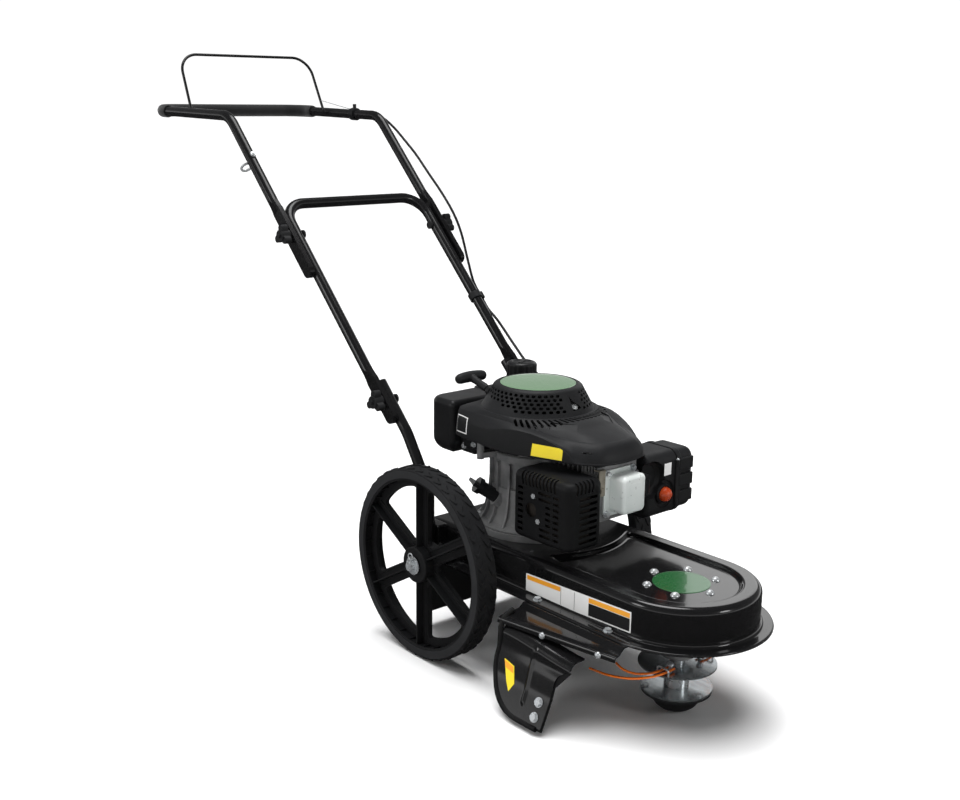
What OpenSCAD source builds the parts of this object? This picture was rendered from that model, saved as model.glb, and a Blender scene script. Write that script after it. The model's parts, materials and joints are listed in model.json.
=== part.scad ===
// Wheeled string trimmer: a pressed steel deck on two tall wheels, a string head under its
// nose, a vertical shaft engine on top and a folding handle with a stop bail.
// Origin on the ground under the spindle, +X forward, +Y to the machine's left, +Z up.

/* [Wheels and axle] */
// Outside diameter of a wheel over its tyre
wheel_d = 356; // [346:1:362]
// Width of a tyre
tyre_w = 44; // [38:1:48]
// Radial thickness of a tyre
tyre_h = 15; // [12:1:18]
// Distance between the two wheel centre planes
track = 398; // [394:1:410]
// Diameter of the axle
axle_d = 16; // [14:1:18]
// Diameter of the wheel hub
hub_d = 62; // [52:1:70]
// Width of the wheel hub
hub_w = 50; // [46:1:52]
// Wall of the wheel rim
rim_t = 5; // [4:1:7]
// Number of spokes in a wheel
spoke_count = 6; // [5:1:7]
// Width of a spoke
spoke_w = 28; // [22:1:32]

/* [Deck] */
// Distance from the spindle back to the axle
wheel_base = 432; // [428:1:440]
// Width of the deck over its side walls
deck_w = 262; // [258:1:264]
// Height of the deck rim above the ground
deck_top = 231; // [229:1:236]
// Height of the deck lip above the ground
lip_z = 163; // [160:1:165]
// Width of the deck lip
lip_w = 19; // [14:1:20]
// Thickness of the deck sheet
sheet_t = 2.5; // [2:0.25:3]
// Rounding of the deck's top edge
edge_r = 12; // [10:1:14]
// Depth of the recessed pan in the deck top
pan_depth = 7; // [5:0.5:8]
// Distance from the side wall to the pan
pan_margin = 34; // [30:1:38]
// Length of the deck behind the axle
deck_tail = 75; // [70:1:85]
// Radius of the raised engine platform
platform_r = 174; // [168:1:180]

/* [Spindle and string head] */
// Diameter of the spindle
spindle_d = 20; // [18:1:22]
// Circle of the spindle housing bolts
bolt_circle = 119; // [116:1:124]
// Diameter of the spindle housing bolts
bolt_d = 8; // [6:1:9]
// Pitch radius of the spindle pulley
driven_r = 36; // [33:0.5:37]
// Pitch radius of the engine pulley
drive_r = 30; // [26:0.5:32]
// Width of the belt
belt_w = 11; // [9:1:13]
// Diameter of the upper head plate
upper_plate_d = 132; // [124:1:140]
// Diameter of the lower head plate
lower_plate_d = 121; // [112:1:126]
// Thickness of the head plates
plate_t = 3; // [2:0.5:4]
// Height of the upper head plate's top face
upper_plate_z = 83; // [78:1:86]
// Height of the lower head plate's underside
lower_plate_z = 38; // [34:1:42]
// Diameter of the hub between the head plates
head_hub_d = 42; // [34:1:48]
// Diameter of the trimmer line
line_d = 4; // [3.5:0.1:4.5]

/* [Engine] */
// Distance of the crankshaft ahead of the axle
crank_ahead = 80; // [76:1:84]
// Diameter of the crankshaft
crank_d = 25; // [22:1:26]
// Height of the cylinder axis above the deck
cyl_z = 113; // [110:1:116]
// Width of the cylinder fins
fin_w = 102; // [94:1:104]
// Number of cylinder fins
fin_count = 8; // [6:1:9]
// Height of the shroud's lower edge above the deck
shroud_z = 169; // [168:1:174]
// Height of the shroud
shroud_h = 50; // [46:1:54]
// Wall of the shroud and the tank
shroud_t = 3; // [2:0.5:4]
// Height of the starter cover above the shroud
dome_h = 50; // [46:1:54]
// Diameter of the starter cover at its foot
dome_d = 210; // [204:1:214]
// Diameter of the starter cover at its top
dome_top_d = 152; // [144:1:158]
// Width of the fuel tank
tank_w = 245; // [238:1:252]
// Length of the fuel tank
tank_l = 74; // [68:1:80]
// Height of the fuel tank
tank_h = 103; // [96:1:110]
// Diameter of the fuel cap
fuel_cap_d = 56; // [50:1:60]
// Size of the muffler guard along the machine
guard_l = 130; // [126:1:134]
// Size of the muffler guard across the machine
guard_w = 76; // [72:1:80]
// Height of the muffler guard
guard_h = 119; // [114:1:122]
// Depth of the air filter box
air_l = 86; // [80:1:90]
// Width of the air filter box with its cover
air_w = 126; // [120:1:132]
// Height of the air filter box
air_h = 116; // [110:1:118]
// Width of the rocker cover
rocker_w = 72; // [66:1:78]
// Height of the rocker cover
rocker_h = 82; // [76:1:88]

/* [Handle] */
// Diameter of the handle tubes
tube_d = 21; // [19:0.5:22]
// Thickness of the flattened tube ends
flat_t = 10; // [8:0.5:11]
// Width of the flattened tube ends
flat_w = 27; // [25:1:30]
// Distance from the centre plane to a lower leg
leg_y = 158; // [157:0.5:159]
// Distance of the lower pivot behind the axle
pivot_back = 155; // [150:1:160]
// Height of the lower pivot
pivot_z = 446; // [440:1:452]
// Slope of the handle
handle_angle = 45.4; // [43:0.2:48]
// Distance from the lower pivot to the upper pivot
pivot_span = 399; // [390:1:410]
// Distance from the lower pivot to the middle crossbar
mid_reach = 477; // [468:1:484]
// Length of the upper leg from its pivot to its bend
upper_leg = 317; // [305:1:330]
// Length of the upper handle's level top
top_len = 327; // [315:1:340]
// Rise of the upper handle's level top
top_rise = 7; // [0:1:14]
// Diameter of the foam grip
grip_d = 28; // [26:1:31]
// Diameter of the bail rod
bail_d = 6; // [5:0.5:7]
// Length of the bail from its pivot to its bar
bail_len = 137; // [130:1:142]
// Raised angle of the bail
bail_angle = 65; // [60:1:75]
// Diameter of the clamp knob studs
stud_d = 8; // [6:0.5:9]

/* [Debris guard] */
// Length of the guard panel
panel_l = 168; // [160:1:174]
// Thickness of the rubber flap
flap_t = 4; // [3:0.5:5]
// Height of the guard flap above the ground
flap_z = 6; // [4:1:12]

/* [Clearances] */
// Radial gap of running fits
running = 0.05; // [0.02:0.01:0.1]
// Gap between pieces that are seated on each other
seat = 0.1; // [0.05:0.01:0.2]
// Gap between pieces that pass each other
pass = 0.4; // [0.3:0.1:0.8]

/* [Hidden] */
$fn = 48;

black = "#1b1b1d";
charcoal = "#2b2c2f";
zinc = "#c9cdd2";
cast = "#8d9094";
orange = "#e8641b";

// Bends of a bar are a hair thicker than its straight lengths, which run into them
bend_grow = 0.1;
lap = 0.4;

// Main places
axle_x = -wheel_base;
axle_z = wheel_d / 2;
crank_x = axle_x + crank_ahead;
deck_r = deck_w / 2;
deck_back = axle_x - deck_tail;
pan_z = deck_top - pan_depth;
pan_under = pan_z - sheet_t;

// Wheel
rim_r = axle_z - tyre_h - seat;
rim_w = tyre_w - 4;
web_t = 8;
web_h = 16;
rib_t = 4;
hub_in = track / 2 - hub_w / 2;
hub_out = track / 2 + hub_w / 2;
spacer_d = axle_d + 5;
washer_d = axle_d + 18;
washer_t = 2;
pin_y = hub_out + pass + washer_t + 4;
pin_d = 3;

// Spindle stack
post_d = bolt_d + 8;
housing_z = 166;
housing_t = 8;
barrel_d = 56;
barrel_z = 96;
bearing_d = 42;
bearing_h = 12;
belt_z = 197;
belt_out = 2;
belt_in = 6;
flange_t = 3;
groove_w = belt_w + 2 * pass;
line_z = upper_plate_z + line_d / 2 + 2.5;
line_x = 17;
line_post_d = 6;
line_post_y = 38;
staple_y = 57;
staple_w = 24;
staple_h = 11;
staple_d = 3;
line_long = [[17, 84, 87], [-6, 108, 83], [-45, 118, 77], [-92, 115, 71]];
line_short = [[7, 80, 88], [-10, 97, 87], [-31, 101, 88], [-50, 96, 90]];
glide_flat = 14;
glide_r = 44;
glide_rim = 5;
glide_screw_r = 52.5;
glide_screw_d = 5;

// Engine, measured from the crankshaft and the deck top
base_r = 112;
base_t = 12;
case_r = 80;
case_z = 151;
case_wall = 20;
engine_bolt_r = 100;
shroud_feet = [[-32, 108], [-32, -108]];
fin_t = 3;
cyl_x0 = case_r + 6;
cyl_x1 = 168;
head_l = 32;
bore_d = 68;
rocker_x = cyl_x1 + head_l + seat;
rocker_l = 36;
flywheel_r = cyl_x0 - 2;
flywheel_z = case_z + 6;
flywheel_h = 26;
shroud_rear = 115;
shroud_side_r = 65;
shroud_mid_r = 126;
shroud_mid_x = 30;
shroud_nose_r = 92;
shroud_nose_x = 138;
dome_z = shroud_z + shroud_h + seat;
dome_hole_r = dome_d / 2 - 6;
tank_z = shroud_z + shroud_h + 5 - tank_h;
tank_x1 = -shroud_rear - pass;
tank_x0 = tank_x1 - tank_l;
tank_y0 = -105;
tank_r = 36;
cap_x = tank_x0 + 38;
cap_y = tank_y0 + tank_w - 40;
boss_h = 18;
neck_h = 18;
cap_h = 27;
guard_x = 85;
guard_y = -132;
guard_z = 32;
guard_t = 2.5;
muffler_gap = 6;
air_x = 134;
air_y = 60;
air_z = 49;
air_split = 74;
air_r = 14;
primer_y = 42;
primer_z = 42;
primer_d = 26;
primer_hole = primer_d + 2 * pass;
oil_foot = [-8, -66, 52];
oil_mouth = [-30, -108, 84];
oil_axis = (oil_mouth - oil_foot) / norm(oil_mouth - oil_foot);
oil_tube_d = 24;
oil_cap_d = 30;
reel_r = 60;
reel_z = dome_z + 14;
reel_h = 12;
reel_post_d = 16;
pull_foot = [-63, -reel_r, dome_z + 30];
pull_tilt = 16.7;
pull_dir = [-cos(pull_tilt), 0, sin(pull_tilt)];
plug_d = 14;
plug_seat = 16;
muffler_screw = [[50, 82], [62, 40]];
rope_d = 4;
stem_l = 50;
stem_d = 15;
tee_l = 70;
tee_d = 20;

// Handle
mid_y = leg_y + tube_d / 2 + pass + flat_t / 2;
upper_y = mid_y + tube_d / 2 + pass + flat_t / 2;
leg_flat_z = 232;
leg_foot_z = axle_z + 10;
leg_x = axle_x - 38;
leg_knee = [axle_x - 102, pivot_z - 54];
leg_ankle = [leg_x, 296];
leg_top = 40;
bracket_y = leg_y - flat_t / 2 - seat;
bracket_w = 40;
mid_tail = 36;
mid_flat = 45;
mid_bend = 50;
upper_tail = 90;
upper_flat = 60;
upper_bend = 60;
corner_r = 50;
blend_l = 34;
grip_side = 62;
slope_dir = [-cos(handle_angle), 0, sin(handle_angle)];
bend_s = pivot_span + upper_leg;
bend_p = on_handle(bend_s, 0);
bar_x = bend_p.x - top_len;
bar_z = bend_p.z + top_rise;
bail_x = bar_x + bail_len - 2;
bail_z = bar_z - top_rise * (bail_x - bar_x) / top_len;
bail_y = upper_y - tube_d / 2 - bail_d - 1;
bail_pin = 8;
bail_r = 45;
bail_splay = 5;
bail_top = [bail_x - bail_len * cos(bail_angle), bail_z + bail_len * sin(bail_angle)];
stop_x = bend_p.x - 92;
stop_l = 16;
eye_s = bend_s - 116;
eye_d = 6;
eye_r = 11;
clip_s = 204;
clip_l = 14;
knob_d = 44;
knob_h = 20;

// Guard on the machine's right
panel_x1 = -32;
panel_x0 = panel_x1 - panel_l;
panel_z = 14;
panel_top = 138;
panel_corner = 75;
bracket_x0 = panel_x0 - 13;
bracket_x1 = panel_x1 + 40;
bracket_z = lip_z - sheet_t - seat;
bracket_line = [[-126, bracket_z], [-157, bracket_z], [-171, lip_z - 12], [-203, lip_z - 14],
    [-211, lip_z - 23], [-214, lip_z - 51]];
panel_line = [[-213.8, panel_top], [-216.6, 112], [-231, 60], [-252, panel_z - 4]];
lip_bolt_x = [panel_x0 + 4, panel_x1];
lip_bolt_y = -deck_r - lip_w * 0.45;
panel_bolt_x = -87;
panel_bolt_z = [50, 27];

// Control cable, from the stop on the upper handle to the engine
cable_d = 5.5;
clip_y = mid_y + tube_d / 2 + cable_d / 2 + 3;
cable_y = upper_y + tube_d / 2 + cable_d + 1.2;
cable_start = [stop_x + stop_l / 2 + seat, cable_y, top_point(stop_x, 0).z + 3.22];
cable_upper_route = [cable_start, bend_p + [-45.26, cable_y, 3.19], beside(0.9991, -7.82, 1),
    beside(0.9165, 6.61, 1), beside(0.8241, 16.14, 1), beside(0.7289, 24.26, 1),
    beside(0.6129, 28.91, 1), beside(0.4956, 32.87, 2), beside(0.3837, 32.56, 2),
    beside(0.2869, 25.84, -1), beside(0.1721, 11.4, -9), on_handle(clip_s + 36, clip_y + 1),
    on_handle(clip_s + pass, clip_y)];
cable_lower_route = [on_handle(clip_s - pass, clip_y), on_handle(clip_s - 34, clip_y - 1),
    [-670, 182, 550], [-635, 170, 536], [-590, 158, 512], [-545, 153, 482], [-500, 152, 458],
    [-450, 148, 432], [-400, 140, 410], [-350, 131, 396], [-305, 120, 388], [-282, 112, 384]];
cable_end = cable_lower_route[len(cable_lower_route) - 1];
wire_up = 0.22;
wire_start = [bail_x + (bail_top.x - bail_x) * wire_up + bail_d / 2 + 1,
    bail_y - bail_splay * wire_up, bail_z + (bail_top.y - bail_z) * wire_up];
wire_dir = unit(cable_start - wire_start);

// Place at distance s up the slope from the lower pivot
function on_handle(s, y) = [axle_x - pivot_back - s * cos(handle_angle), y,
    pivot_z + s * sin(handle_angle)];

// Place on the cable, share f of the way from its clip to the handle's bend and off above the slope
function beside(f, off, out) = on_handle(clip_s + f * (bend_s - clip_s), cable_y + out)
    + off * [sin(handle_angle), 0, cos(handle_angle)];

function unit(v) = v / norm(v);
function flip_y(p) = [p.x, -p.y, p.z];

// Turn of a bent bar at its corner i, and the length that the corner's arc takes up
function turn(p, i) = acos(unit(p[i] - p[i - 1]) * unit(p[i + 1] - p[i]));
function taken(p, r, i) = i == 0 || i == len(p) - 1 ? 0 : r[i - 1] * tan(turn(p, i) / 2);

// Side of a bent sheet's section, at distance d from its middle line
function left_of(v) = [-v.y, v.x] / norm(v);
function side_point(p, i, d) =
    let(a = left_of(p[max(i, 1)] - p[max(i, 1) - 1]),
        j = min(i, len(p) - 2),
        b = left_of(p[j + 1] - p[j]))
    p[i] + (a + b) * d / (1 + a * b);
function strip(p, t) = concat([for (i = [0:len(p) - 1]) side_point(p, i, t / 2)],
    [for (i = [len(p) - 1:-1:0]) side_point(p, i, -t / 2)]);

// Points of an arc in a plane
function arc(c, r, a0, a1, n) = [for (k = [0:n]) c + r * [cos(a0 + (a1 - a0) * k / n),
    sin(a0 + (a1 - a0) * k / n)]];

// Smooth line through the points of a cable's route
function smooth(p, i, t) =
    let(a = p[max(i - 1, 0)], b = p[i], c = p[i + 1], d = p[min(i + 2, len(p) - 1)])
    (2 * b + (c - a) * t + (2 * a - 5 * b + 4 * c - d) * t * t
        + (3 * b - a - 3 * c + d) * t * t * t) / 2;
function route(p, n) = concat([for (i = [0:len(p) - 2], k = [0:n - 1]) smooth(p, i, k / n)],
    [p[len(p) - 1]]);

// Straight round bar from a to b
module rod(a, b, d) {
    v = b - a;
    translate(a)
        rotate([0, acos(v.z / norm(v)), atan2(v.y, v.x)])
            cylinder(d = d, h = norm(v));
}

// Round bar through the points p, with its corners bent to the radii r
module bent_bar(p, r, d) {
    for (i = [0:len(p) - 2]) {
        u = unit(p[i + 1] - p[i]);
        rod(p[i] + u * max(taken(p, r, i) - lap, 0),
            p[i + 1] - u * max(taken(p, r, i + 1) - lap, 0), d);
    }
    for (i = [1:len(p) - 2]) {
        u = unit(p[i] - p[i - 1]);
        v = unit(p[i + 1] - p[i]);
        n = unit(v - u * (u * v));
        w = cross(-n, u);
        c = p[i] - u * taken(p, r, i) + n * r[i - 1];
        multmatrix([[-n.x, u.x, w.x, c.x], [-n.y, u.y, w.y, c.y], [-n.z, u.z, w.z, c.z],
            [0, 0, 0, 1]])
            rotate_extrude(angle = turn(p, i))
                translate([r[i - 1], 0])
                    circle(d = d + bend_grow);
    }
}

// Cable or line swept along points, with its sides turned to the direction up
module swept(p, d, sides, up) {
    n = len(p);
    ring = [for (i = [0:n - 1])
        let(t = unit(p[min(i + 1, n - 1)] - p[max(i - 1, 0)]),
            s = unit(cross(t, up)),
            w = cross(s, t))
        for (k = [0:sides - 1])
            p[i] + (s * cos(360 * k / sides) + w * sin(360 * k / sides)) * d / 2];
    wall = [for (i = [0:n - 2], k = [0:sides - 1])
        let(a = i * sides + k, b = i * sides + (k + 1) % sides)
        each [[a, b, b + sides], [a, b + sides, a + sides]]];
    first = [for (k = [1:sides - 2]) [0, k + 1, k]];
    last = [for (k = [1:sides - 2]) (n - 1) * sides * [1, 1, 1] + [0, k, k + 1]];
    polyhedron(points = ring, faces = concat(wall, first, last));
}

// Section drawn in y and z, drawn out along x
module along_x(x0, x1) {
    translate([x0, 0, 0])
        rotate([90, 0, 90])
            linear_extrude(height = x1 - x0)
                children();
}

// Section drawn in x and z, drawn out along y
module along_y(y0, y1) {
    translate([0, y1, 0])
        rotate([90, 0, 0])
            linear_extrude(height = y1 - y0)
                children();
}

module both_sides() {
    children();
    mirror([0, 1, 0])
        children();
}

module at_crank() {
    translate([crank_x, 0, deck_top])
        children();
}

module rounded_plan(l, w, r) {
    translate([r, 0])
        square([l - 2 * r, w]);
    translate([0, r])
        square([l, w - 2 * r]);
    for (x = [r, l - r], y = [r, w - r])
        translate([x, y])
            circle(r = r);
}

module hex_bolt(af, h, d, l) {
    translate([0, 0, -l])
        cylinder(d = d, h = l);
    cylinder(d = af * 1.5, h = h / 4);
    cylinder(d = af / cos(30), h = h, $fn = 6);
}

// Wheels

module tyre(side) {
    w = tyre_w / 2;
    translate([axle_x, side * track / 2, axle_z])
        rotate([90, 0, 0])
            rotate_extrude()
                polygon([[rim_r + seat, -w + 2], [axle_z - 7, -w], [axle_z - 2, -w + 2.5],
                    [axle_z, -w + 8], [axle_z, w - 8], [axle_z - 2, w - 2.5], [axle_z - 7, w],
                    [rim_r + seat, w - 2]]);
}

module wheel(side) {
    spoke_l = rim_r - hub_d / 2;
    window = 360 / spoke_count;
    translate([axle_x, side * track / 2, axle_z])
        rotate([90, 0, 0])
            difference() {
                union() {
                    cylinder(d = hub_d, h = hub_w, center = true);
                    rotate_extrude()
                        polygon([[rim_r - rim_t, -rim_w / 2], [rim_r, -rim_w / 2],
                            [rim_r, rim_w / 2], [rim_r - rim_t, rim_w / 2],
                            [rim_r - rim_t, web_t / 2], [rim_r - rim_t - web_h, web_t / 2],
                            [rim_r - rim_t - web_h, -web_t / 2], [rim_r - rim_t, -web_t / 2]]);
                    for (k = [0:spoke_count - 1])
                        rotate(90 + k * window) {
                            translate([hub_d / 2 - 4, -spoke_w / 2, -web_t / 2 + 1])
                                cube([spoke_l, spoke_w, web_t - 2]);
                            translate([hub_d / 2 - 4, -rib_t / 2, -rim_w / 2 + 3])
                                cube([spoke_l, rib_t, rim_w - 6]);
                            for (j = [-1:1])
                                rotate(window / 2 + j * window / 4)
                                    translate([rim_r - rim_t - web_h + 2, -rib_t / 4, -rim_w / 2 + 2])
                                        cube([web_h, rib_t / 2, rim_w - 4]);
                        }
                }
                cylinder(d = axle_d + 2 * running, h = 2 * hub_w, center = true);
            }
}

module tyre_right() {
    color("#202124")
        tyre(-1);
}

module tyre_left() {
    color("#202124")
        tyre(1);
}

module wheel_right() {
    color(charcoal)
        wheel(-1);
}

module wheel_left() {
    color(charcoal)
        wheel(1);
}

module axle() {
    color(zinc)
        difference() {
            translate([axle_x, 0, axle_z])
                rotate([90, 0, 0])
                    cylinder(d = axle_d, h = 2 * (pin_y + 5), center = true);
            both_sides()
                translate([axle_x, pin_y, axle_z])
                    cylinder(d = pin_d + 2 * seat, h = 2 * axle_d, center = true);
        }
}

// Spacers, washers and ring pins that hold the wheels on the axle
module axle_hardware() {
    color(zinc)
        both_sides() {
            translate([axle_x, 0, axle_z])
                rotate([-90, 0, 0]) {
                    difference() {
                        union() {
                            translate([0, 0, deck_r + seat])
                                cylinder(d = spacer_d, h = hub_in - pass - deck_r - seat);
                            translate([0, 0, hub_out + pass])
                                cylinder(d = washer_d, h = washer_t);
                        }
                        cylinder(d = axle_d + 2 * seat, h = track);
                    }
                }
            translate([axle_x, pin_y, axle_z]) {
                translate([0, 0, -axle_d / 2 - 4])
                    cylinder(d = pin_d, h = axle_d + 8);
                translate([0, 0, axle_d / 2 + 10])
                    rotate([90, 0, 0])
                        rotate_extrude()
                            translate([6, 0])
                                circle(d = pin_d - 0.8);
            }
        }
}

// Deck

module deck_plan(inset) {
    r = deck_r - inset;
    circle(r = r, $fn = 96);
    translate([deck_back + inset, -r])
        square([-deck_back - inset, 2 * r]);
}

module pan_plan(grow) {
    r = deck_r - pan_margin + grow;
    difference() {
        union() {
            circle(r = r, $fn = 96);
            translate([crank_x, -r])
                square([-crank_x, 2 * r]);
        }
        translate([crank_x, 0])
            circle(r = platform_r - grow, $fn = 96);
    }
}

module deck_level(inset, top) {
    translate([0, 0, lip_z - 1])
        linear_extrude(height = top - lip_z + 1)
            deck_plan(inset);
}

module deck_block() {
    half = concat([[0, lip_z], [deck_r, lip_z]],
        arc([deck_r - edge_r, deck_top - edge_r], edge_r, 0, 90, 6), [[0, deck_top]]);
    rotate(-90)
        rotate_extrude(angle = 180, $fn = 96)
            polygon(half);
    along_x(deck_back, 0)
        union() {
            polygon(half);
            mirror([1, 0])
                polygon(half);
        }
}

// Rolled lip round the foot of the deck
module deck_lip() {
    r = deck_r + lip_w;
    bead = 2 * sheet_t;
    difference() {
        translate([0, 0, lip_z])
            linear_extrude(height = sheet_t)
                deck_plan(-lip_w);
        translate([deck_back - 2 * lip_w, -deck_w, lip_z - 1])
            cube([2 * lip_w, 2 * deck_w, sheet_t + 2]);
    }
    translate([0, 0, lip_z + sheet_t / 2]) {
        rotate(-90)
            rotate_extrude(angle = 180, $fn = 96)
                translate([r, 0])
                    circle(d = bead);
        both_sides()
            rod([deck_back, r, 0], [0, r, 0], bead);
    }
}

module bolt_ring() {
    for (a = [0:60:300])
        rotate(a)
            translate([bolt_circle / 2, 0])
                children();
}

// Posts on the deck sides that carry the handle legs
module leg_bracket() {
    translate([leg_x - bracket_w / 2, deck_r - 1, leg_foot_z - 8])
        cube([bracket_w, bracket_y - deck_r + 1, leg_flat_z - pass - leg_foot_z + 8]);
}

module leg_bolt_holes(d) {
    for (z = [leg_foot_z + 8, leg_flat_z - 10])
        translate([leg_x, 0, z])
            rotate([-90, 0, 0])
                cylinder(d = d, h = track / 2);
}

module engine_bolt_ring() {
    for (a = [45:90:315])
        rotate(a)
            translate([engine_bolt_r, 0])
                children();
}

module deck_shell() {
    color(black)
        difference() {
            union() {
                deck_block();
                deck_lip();
                both_sides()
                    leg_bracket();
            }
            deck_level(sheet_t, deck_top - edge_r);
            deck_level(edge_r, pan_under);
            difference() {
                deck_level(edge_r, deck_top - sheet_t);
                translate([0, 0, pan_under])
                    linear_extrude(height = pan_depth + sheet_t)
                        pan_plan(sheet_t);
            }
            translate([0, 0, pan_z])
                linear_extrude(height = pan_depth + 1)
                    pan_plan(0);
            translate([0, 0, pan_under - 1])
                linear_extrude(height = sheet_t + 2)
                    bolt_ring()
                        circle(d = bolt_d + 2 * seat);
            at_crank() {
                cylinder(d = crank_d + 20, h = 4 * edge_r, center = true);
                engine_bolt_ring()
                    cylinder(d = bolt_d + 2 * seat, h = 4 * edge_r, center = true);
            }
            translate([axle_x, 0, axle_z])
                rotate([90, 0, 0])
                    cylinder(d = axle_d + 2 * seat, h = track, center = true);
            both_sides()
                leg_bolt_holes(bolt_d + 2 * seat);
            for (x = lip_bolt_x)
                translate([x, lip_bolt_y, lip_z])
                    cylinder(d = bolt_d + 2 * seat, h = 6 * sheet_t, center = true);
        }
}

// Hanging flap behind the deck
module rear_flap() {
    y = deck_r - 8;
    color("#161617")
        along_y(-y, y)
            polygon(strip([[deck_back - flap_t / 2 - seat, lip_z + 34],
                [deck_back - flap_t / 2 - seat, lip_z - 20], [deck_back - 20, 26]], flap_t));
}

// Cast housing that hangs under the deck on six posts
module spindle_housing() {
    color("#3a3b3d")
        difference() {
            union() {
                bolt_ring()
                    translate([0, 0, housing_z])
                        cylinder(d = post_d, h = pan_under - seat - housing_z);
                translate([0, 0, housing_z])
                    cylinder(r = bolt_circle / 2 + post_d / 2 + 2, h = housing_t);
                translate([0, 0, barrel_z])
                    cylinder(d = barrel_d, h = housing_z + housing_t - barrel_z);
            }
            translate([0, 0, barrel_z - 1])
                cylinder(d = spindle_d + 6, h = housing_z);
            for (z = [barrel_z - 1, housing_z + housing_t - bearing_h])
                translate([0, 0, z])
                    cylinder(d = bearing_d + 2 * seat, h = bearing_h + 1);
            translate([0, 0, housing_z - 1])
                bolt_ring()
                    cylinder(d = bolt_d + 2 * seat, h = deck_top);
        }
}

module spindle_bearings() {
    color(zinc)
        for (z = [barrel_z, housing_z + housing_t - bearing_h + seat])
            translate([0, 0, z])
                difference() {
                    cylinder(d = bearing_d, h = bearing_h - seat);
                    translate([0, 0, -1])
                        cylinder(d = spindle_d + 2 * running, h = bearing_h + 2);
                }
}

// Round headed bolts of the housing, and the hex bolts of the legs, lip and guard
module deck_bolts() {
    dome_r = bolt_d * 0.95;
    color(zinc) {
        bolt_ring() {
            translate([0, 0, pan_z + seat])
                rotate_extrude()
                    polygon(concat([[0, 0]], arc([0, -dome_r * 0.4], dome_r * 1.1, 21, 90, 5)));
            translate([0, 0, housing_z - 8])
                cylinder(d = bolt_d, h = pan_z + seat - housing_z + 8);
            translate([0, 0, housing_z - 7])
                cylinder(d = bolt_d * 1.6 / cos(30), h = 7 - seat, $fn = 6);
        }
        both_sides()
            for (z = [leg_foot_z + 8, leg_flat_z - 10])
                translate([leg_x, leg_y + flat_t / 2 + seat, z])
                    rotate([-90, 0, 0])
                        hex_bolt(bolt_d * 1.6, 5, bolt_d, flat_t + 14);
        for (x = lip_bolt_x)
            translate([x, lip_bolt_y, lip_z + sheet_t + seat])
                hex_bolt(bolt_d * 1.3, 5, bolt_d, 2 * sheet_t + 10);
        panel_bolt_places()
            translate([0, 0, sheet_t / 2 + seat])
                hex_bolt(bolt_d * 1.4, 5, bolt_d, 12);
    }
}

// Debris guard

module panel_outline(grow) {
    c = panel_corner;
    x0 = panel_x0 - grow;
    z0 = panel_z - grow;
    polygon(concat([[panel_x1, panel_top], [panel_x1, panel_top - 18], [panel_x1 - 34, 78],
        [panel_x1 - 36, z0]], arc([x0 + c, z0 + c], c, 270, 180, 10), [[x0, panel_top]]));
}

module panel_bolt_places() {
    fall = panel_line[3] - panel_line[2];
    for (z = panel_bolt_z)
        translate([panel_bolt_x, panel_line[2].x + fall.x * (z - panel_line[2].y) / fall.y, z])
            rotate([atan2(-fall.y, -fall.x), 0, 0])
                children();
}

module panel_bolt_holes() {
    panel_bolt_places()
        cylinder(d = bolt_d + 2 * seat, h = 40, center = true);
}

module guard_bracket() {
    color(black)
        difference() {
            along_x(bracket_x0, bracket_x1)
                polygon(strip(bracket_line, sheet_t));
            for (x = lip_bolt_x)
                translate([x, lip_bolt_y, bracket_z])
                    cylinder(d = bolt_d + 2 * seat, h = 6 * sheet_t, center = true);
        }
}

module debris_guard() {
    bead_x = panel_x0 + panel_l * 0.47;
    bead = [for (p = panel_line) [bead_x, p.x - sheet_t / 2 - 0.5, p.y]];
    color(black)
        difference() {
            union() {
                intersection() {
                    along_x(panel_x0 - 1, panel_x1 + 1)
                        polygon(strip(panel_line, sheet_t));
                    along_y(-deck_w, -deck_r)
                        panel_outline(0);
                }
                bent_bar([bead[1], bead[2], (bead[2] + bead[3]) / 2], [40], 5);
            }
            panel_bolt_holes();
        }
}

module guard_flap() {
    shift = sheet_t / 2 + seat + flap_t / 2;
    inner = [for (i = [1:3]) side_point(panel_line, i, shift)];
    color("#121213")
        difference() {
            intersection() {
                along_x(panel_x0 - 20, panel_x1)
                    polygon(strip(inner, flap_t));
                along_y(-deck_w, -deck_r)
                    panel_outline(panel_z - flap_z);
            }
            panel_bolt_holes();
        }
}

// Engine

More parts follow.
